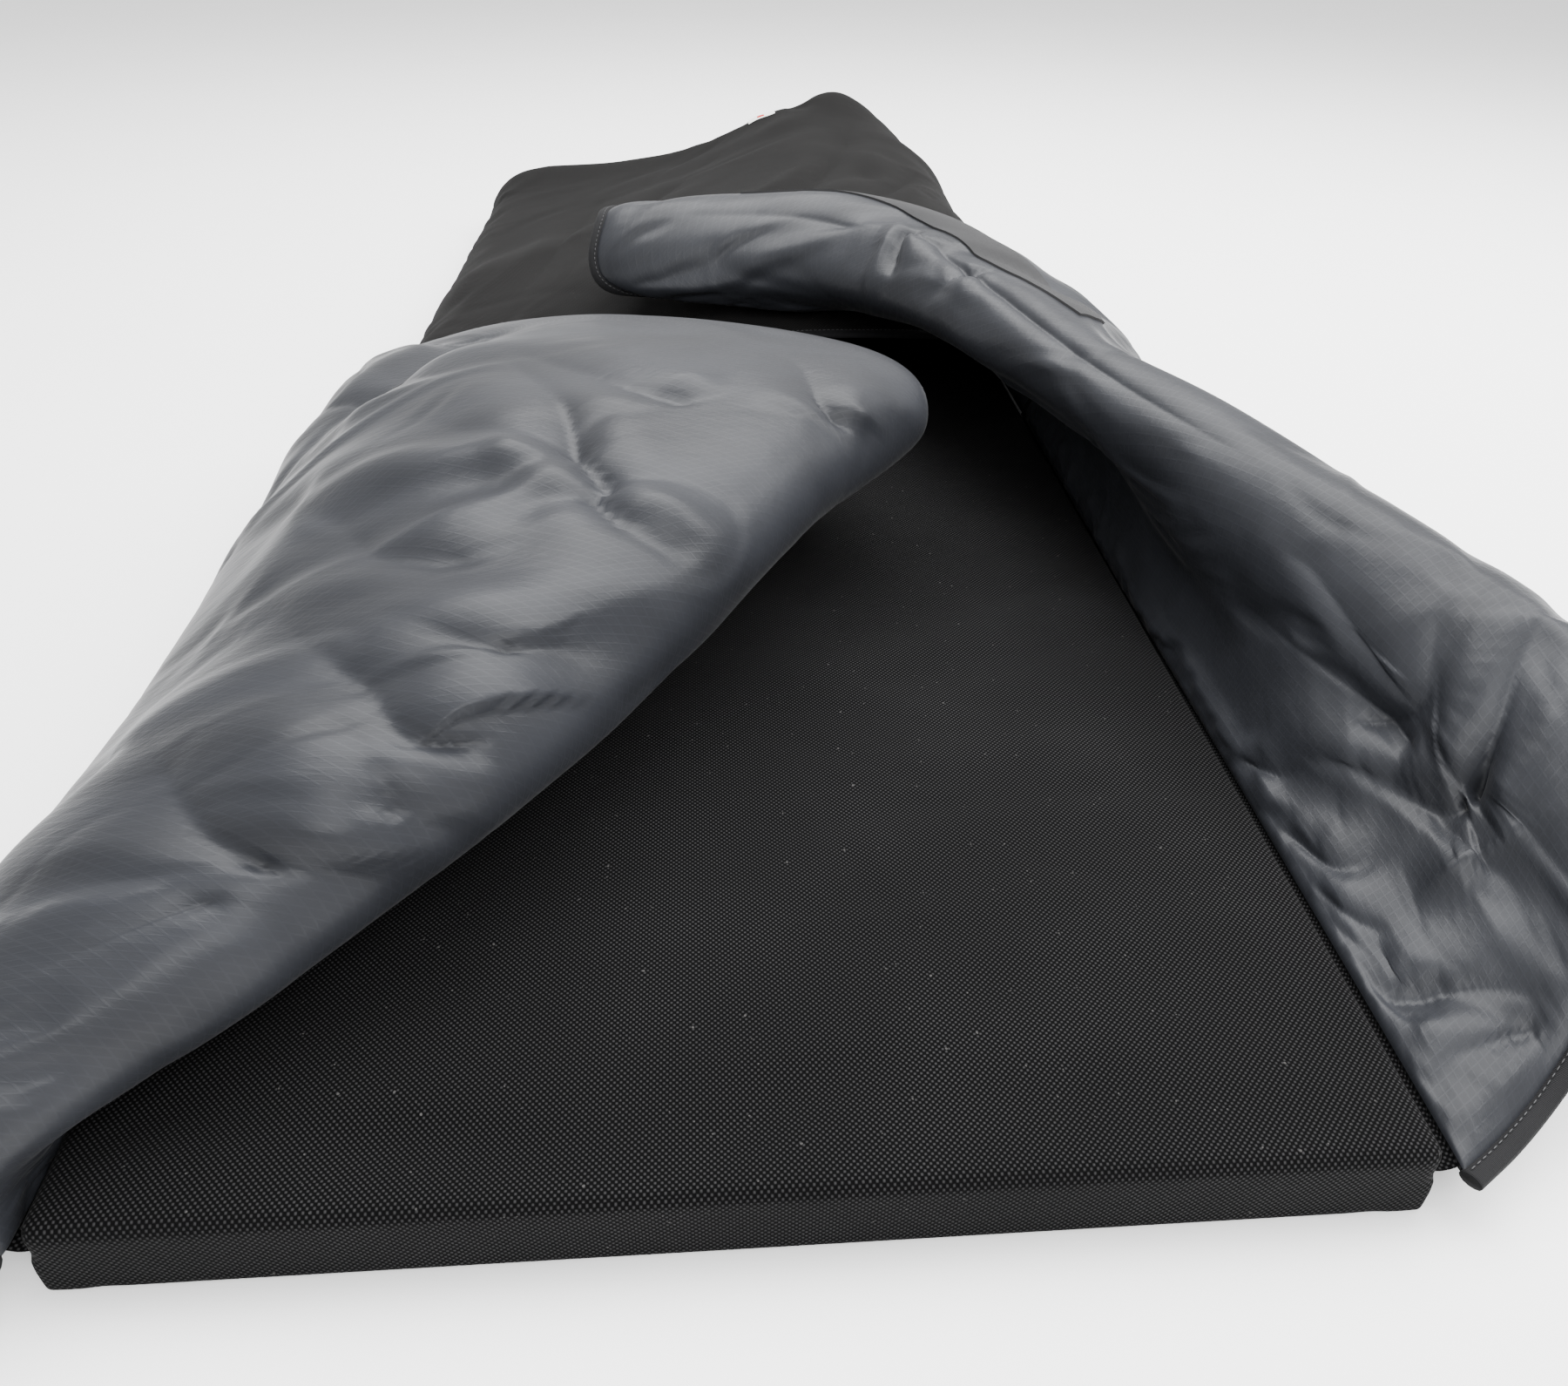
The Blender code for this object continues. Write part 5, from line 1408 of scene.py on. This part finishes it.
class PowerInlet:
    """The moulded socket of the supply lead, on the mat's left side."""

    def block(self, name: str, low: tuple, high: tuple, round_by: float) -> bpy.types.Object:
        """A box between two corners with rounded edges, selected in object mode."""
        bpy.ops.object.select_all(action="DESELECT")
        size = [b - a for a, b in zip(low, high)]
        bpy.ops.mesh.primitive_cube_add(size=1, location=[(a + b) / 2 for a, b in zip(low, high)],
                                        scale=size)
        obj = bpy.context.object
        obj.name = name
        bpy.ops.object.transform_apply(location=True, rotation=True, scale=True)
        if round_by:
            edge = obj.modifiers.new("edge", "BEVEL")
            edge.width = round_by
            edge.segments = 3
            bpy.ops.object.modifier_apply(modifier=edge.name)
        return obj

    def cut(self, obj: bpy.types.Object, tool: bpy.types.Object) -> None:
        """Takes one shape out of another and removes the tool."""
        only(obj)
        hole = obj.modifiers.new("hole", "BOOLEAN")
        hole.operation = "DIFFERENCE"
        hole.object = tool
        bpy.ops.object.modifier_apply(modifier=hole.name)
        bpy.data.objects.remove(tool)

    def build(self, palette: Palette) -> None:
        """Makes the flange, the socket and the pins."""
        (ax, ay, az), (bx, by, bz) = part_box("power_inlet_housing")
        (fx, fy, fz), (gx, gy, gz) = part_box("power_inlet_flange")
        body = self.block("power_inlet_shell", (ax, ay, az), (bx, by, bz), 0.0012)
        self.cut(body, self.block("tool", (ax - 0.01, ay + 0.005, az + 0.0025),
                                  (bx - 0.003, by - 0.005, bz - 0.0025), 0.0016))
        rim = self.block("power_inlet_rim", (fx, fy, fz), (gx, gy, gz), 0.0011)
        self.cut(rim, self.block("tool", (fx - 0.01, ay - 0.0003, az - 0.0003),
                                 (gx + 0.01, by + 0.0003, bz + 0.0003), 0.0))
        for obj, node in ((body, "power_inlet_housing"), (rim, "power_inlet_flange")):
            only(obj)
            bpy.ops.object.shade_smooth_by_angle(angle=math.radians(35))
            dress(obj, palette.plastic)
            finished(obj, "mat", "black_plastic", node)
        for index in (1, 2, 3):
            low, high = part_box(f"power_inlet_pin_{index}")
            middle = [(a + b) / 2 for a, b in zip(low, high)]
            bpy.ops.object.select_all(action="DESELECT")
            bpy.ops.mesh.primitive_cylinder_add(vertices=20, radius=(high[1] - low[1]) / 2,
                                                depth=high[0] - low[0], location=middle,
                                                rotation=(0, math.pi / 2, 0))
            pin = bpy.context.object
            pin.name = f"power_inlet_contact_{index}"
            bpy.ops.object.transform_apply(location=True, rotation=True, scale=True)
            tip = pin.modifiers.new("tip", "BEVEL")
            tip.width = 0.0006
            tip.segments = 3
            bpy.ops.object.modifier_apply(modifier=tip.name)
            bpy.ops.object.shade_smooth_by_angle(angle=math.radians(35))
            dress(pin, palette.nickel)
            finished(pin, "mat", "copper_foil", f"power_inlet_pin_{index}")


class InnerPieces:
    """The CAD nodes that stay as they are, sealed in the quilts and the mat."""

    FINISHES = {"thermostat": "nickel", "probe": "nickel", "bus_bar": "copper", "film": "carbon",
                "foil": "foil", "harness": "jacket", "tape": "hook", "foam": "foam", "felt": "wool"}

    def build(self, palette: Palette) -> None:
        """Gives each of them its finish."""
        for name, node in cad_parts.items():
            for key, finish in self.FINISHES.items():
                if key in name:
                    dress(node, getattr(palette, finish))


# ------------------------------------------------------------------------------ stage
@dataclass(frozen=True)
class Studio:
    """A pale floor, soft lights and the camera."""

    position: tuple[float, float, float] = (-0.011, -1.194, 0.540)
    right: tuple[float, float, float] = (0.998, -0.065, 0.008)
    up: tuple[float, float, float] = (0.032, 0.587, 0.809)
    forward: tuple[float, float, float] = (0.058, 0.807, -0.588)

    def build(self) -> None:
        """Makes everything that isn't the blanket."""
        self.floor()
        self.world()
        self.lamp("sky", (0.3, 0.6, 2.4), (0, 0, 0), 2.6, 240)
        self.lamp("window", (2.1, -0.2, 1.9), (-0.1, 0, 0.1), 1.4, 85)
        self.lamp("fill", (0.5, -2.1, 1.7), (0.15, -0.3, 0.1), 1.5, 62)
        self.camera()

    def floor(self) -> None:
        """A wide pale floor."""
        bpy.ops.object.select_all(action="DESELECT")
        bpy.ops.mesh.primitive_plane_add(size=24, location=(0, 0, -0.0005))
        floor = bpy.context.object
        floor.name = "floor"
        shader = Shader("pale_floor")
        grain = shader.noise(shader.coordinates(Coords.OBJECT), 3.0, 2.0)
        shader.set(Base_Color=shader.blend(grain, (0.95, 0.95, 0.95), (0.98, 0.98, 0.98)))
        shader.set(Roughness=0.85)
        dress(floor, shader.material)

    def world(self) -> None:
        """Even white light from all round."""
        world = bpy.data.worlds.new("studio")
        world.use_nodes = True
        world.node_tree.nodes["Background"].inputs[0].default_value = (1.0, 1.0, 1.0, 1.0)
        world.node_tree.nodes["Background"].inputs[1].default_value = 1.32
        bpy.context.scene.world = world

    def lamp(self, name: str, place: tuple, aim: tuple, size: float, watts: float) -> None:
        """A square soft light that faces a point."""
        data = bpy.data.lights.new(name, "AREA")
        data.size = size
        data.energy = watts
        obj = bpy.data.objects.new(name, data)
        obj.location = place
        obj.rotation_euler = (Vector(aim) - Vector(place)).to_track_quat("-Z", "Y").to_euler()
        bpy.context.scene.collection.objects.link(obj)

    def camera(self) -> None:
        """The camera, low in front of the head end."""
        data = bpy.data.cameras.new("camera")
        data.lens = 27
        data.sensor_width = 36
        data.clip_start = 0.02
        obj = bpy.data.objects.new("camera", data)
        axes = Matrix((self.right, self.up, [-c for c in self.forward])).transposed()
        obj.matrix_world = Matrix.Translation(self.position) @ axes.to_4x4()
        bpy.context.scene.collection.objects.link(obj)
        bpy.context.scene.camera = obj


def main() -> None:
    """Builds the blanket's pieces in order."""
    logging.basicConfig(level=logging.INFO, format="%(message)s")
    palette = Palette()
    Studio().build()
    MatPad().build(palette)
    Pipings().build(palette)
    SeamStrips().build(palette)
    LEFT_FLAP.build(palette)
    RIGHT_FLAP.build(palette)
    FootCover().build(palette)
    PowerInlet().build(palette)
    InnerPieces().build(palette)


if __name__ == "__main__":
    main()
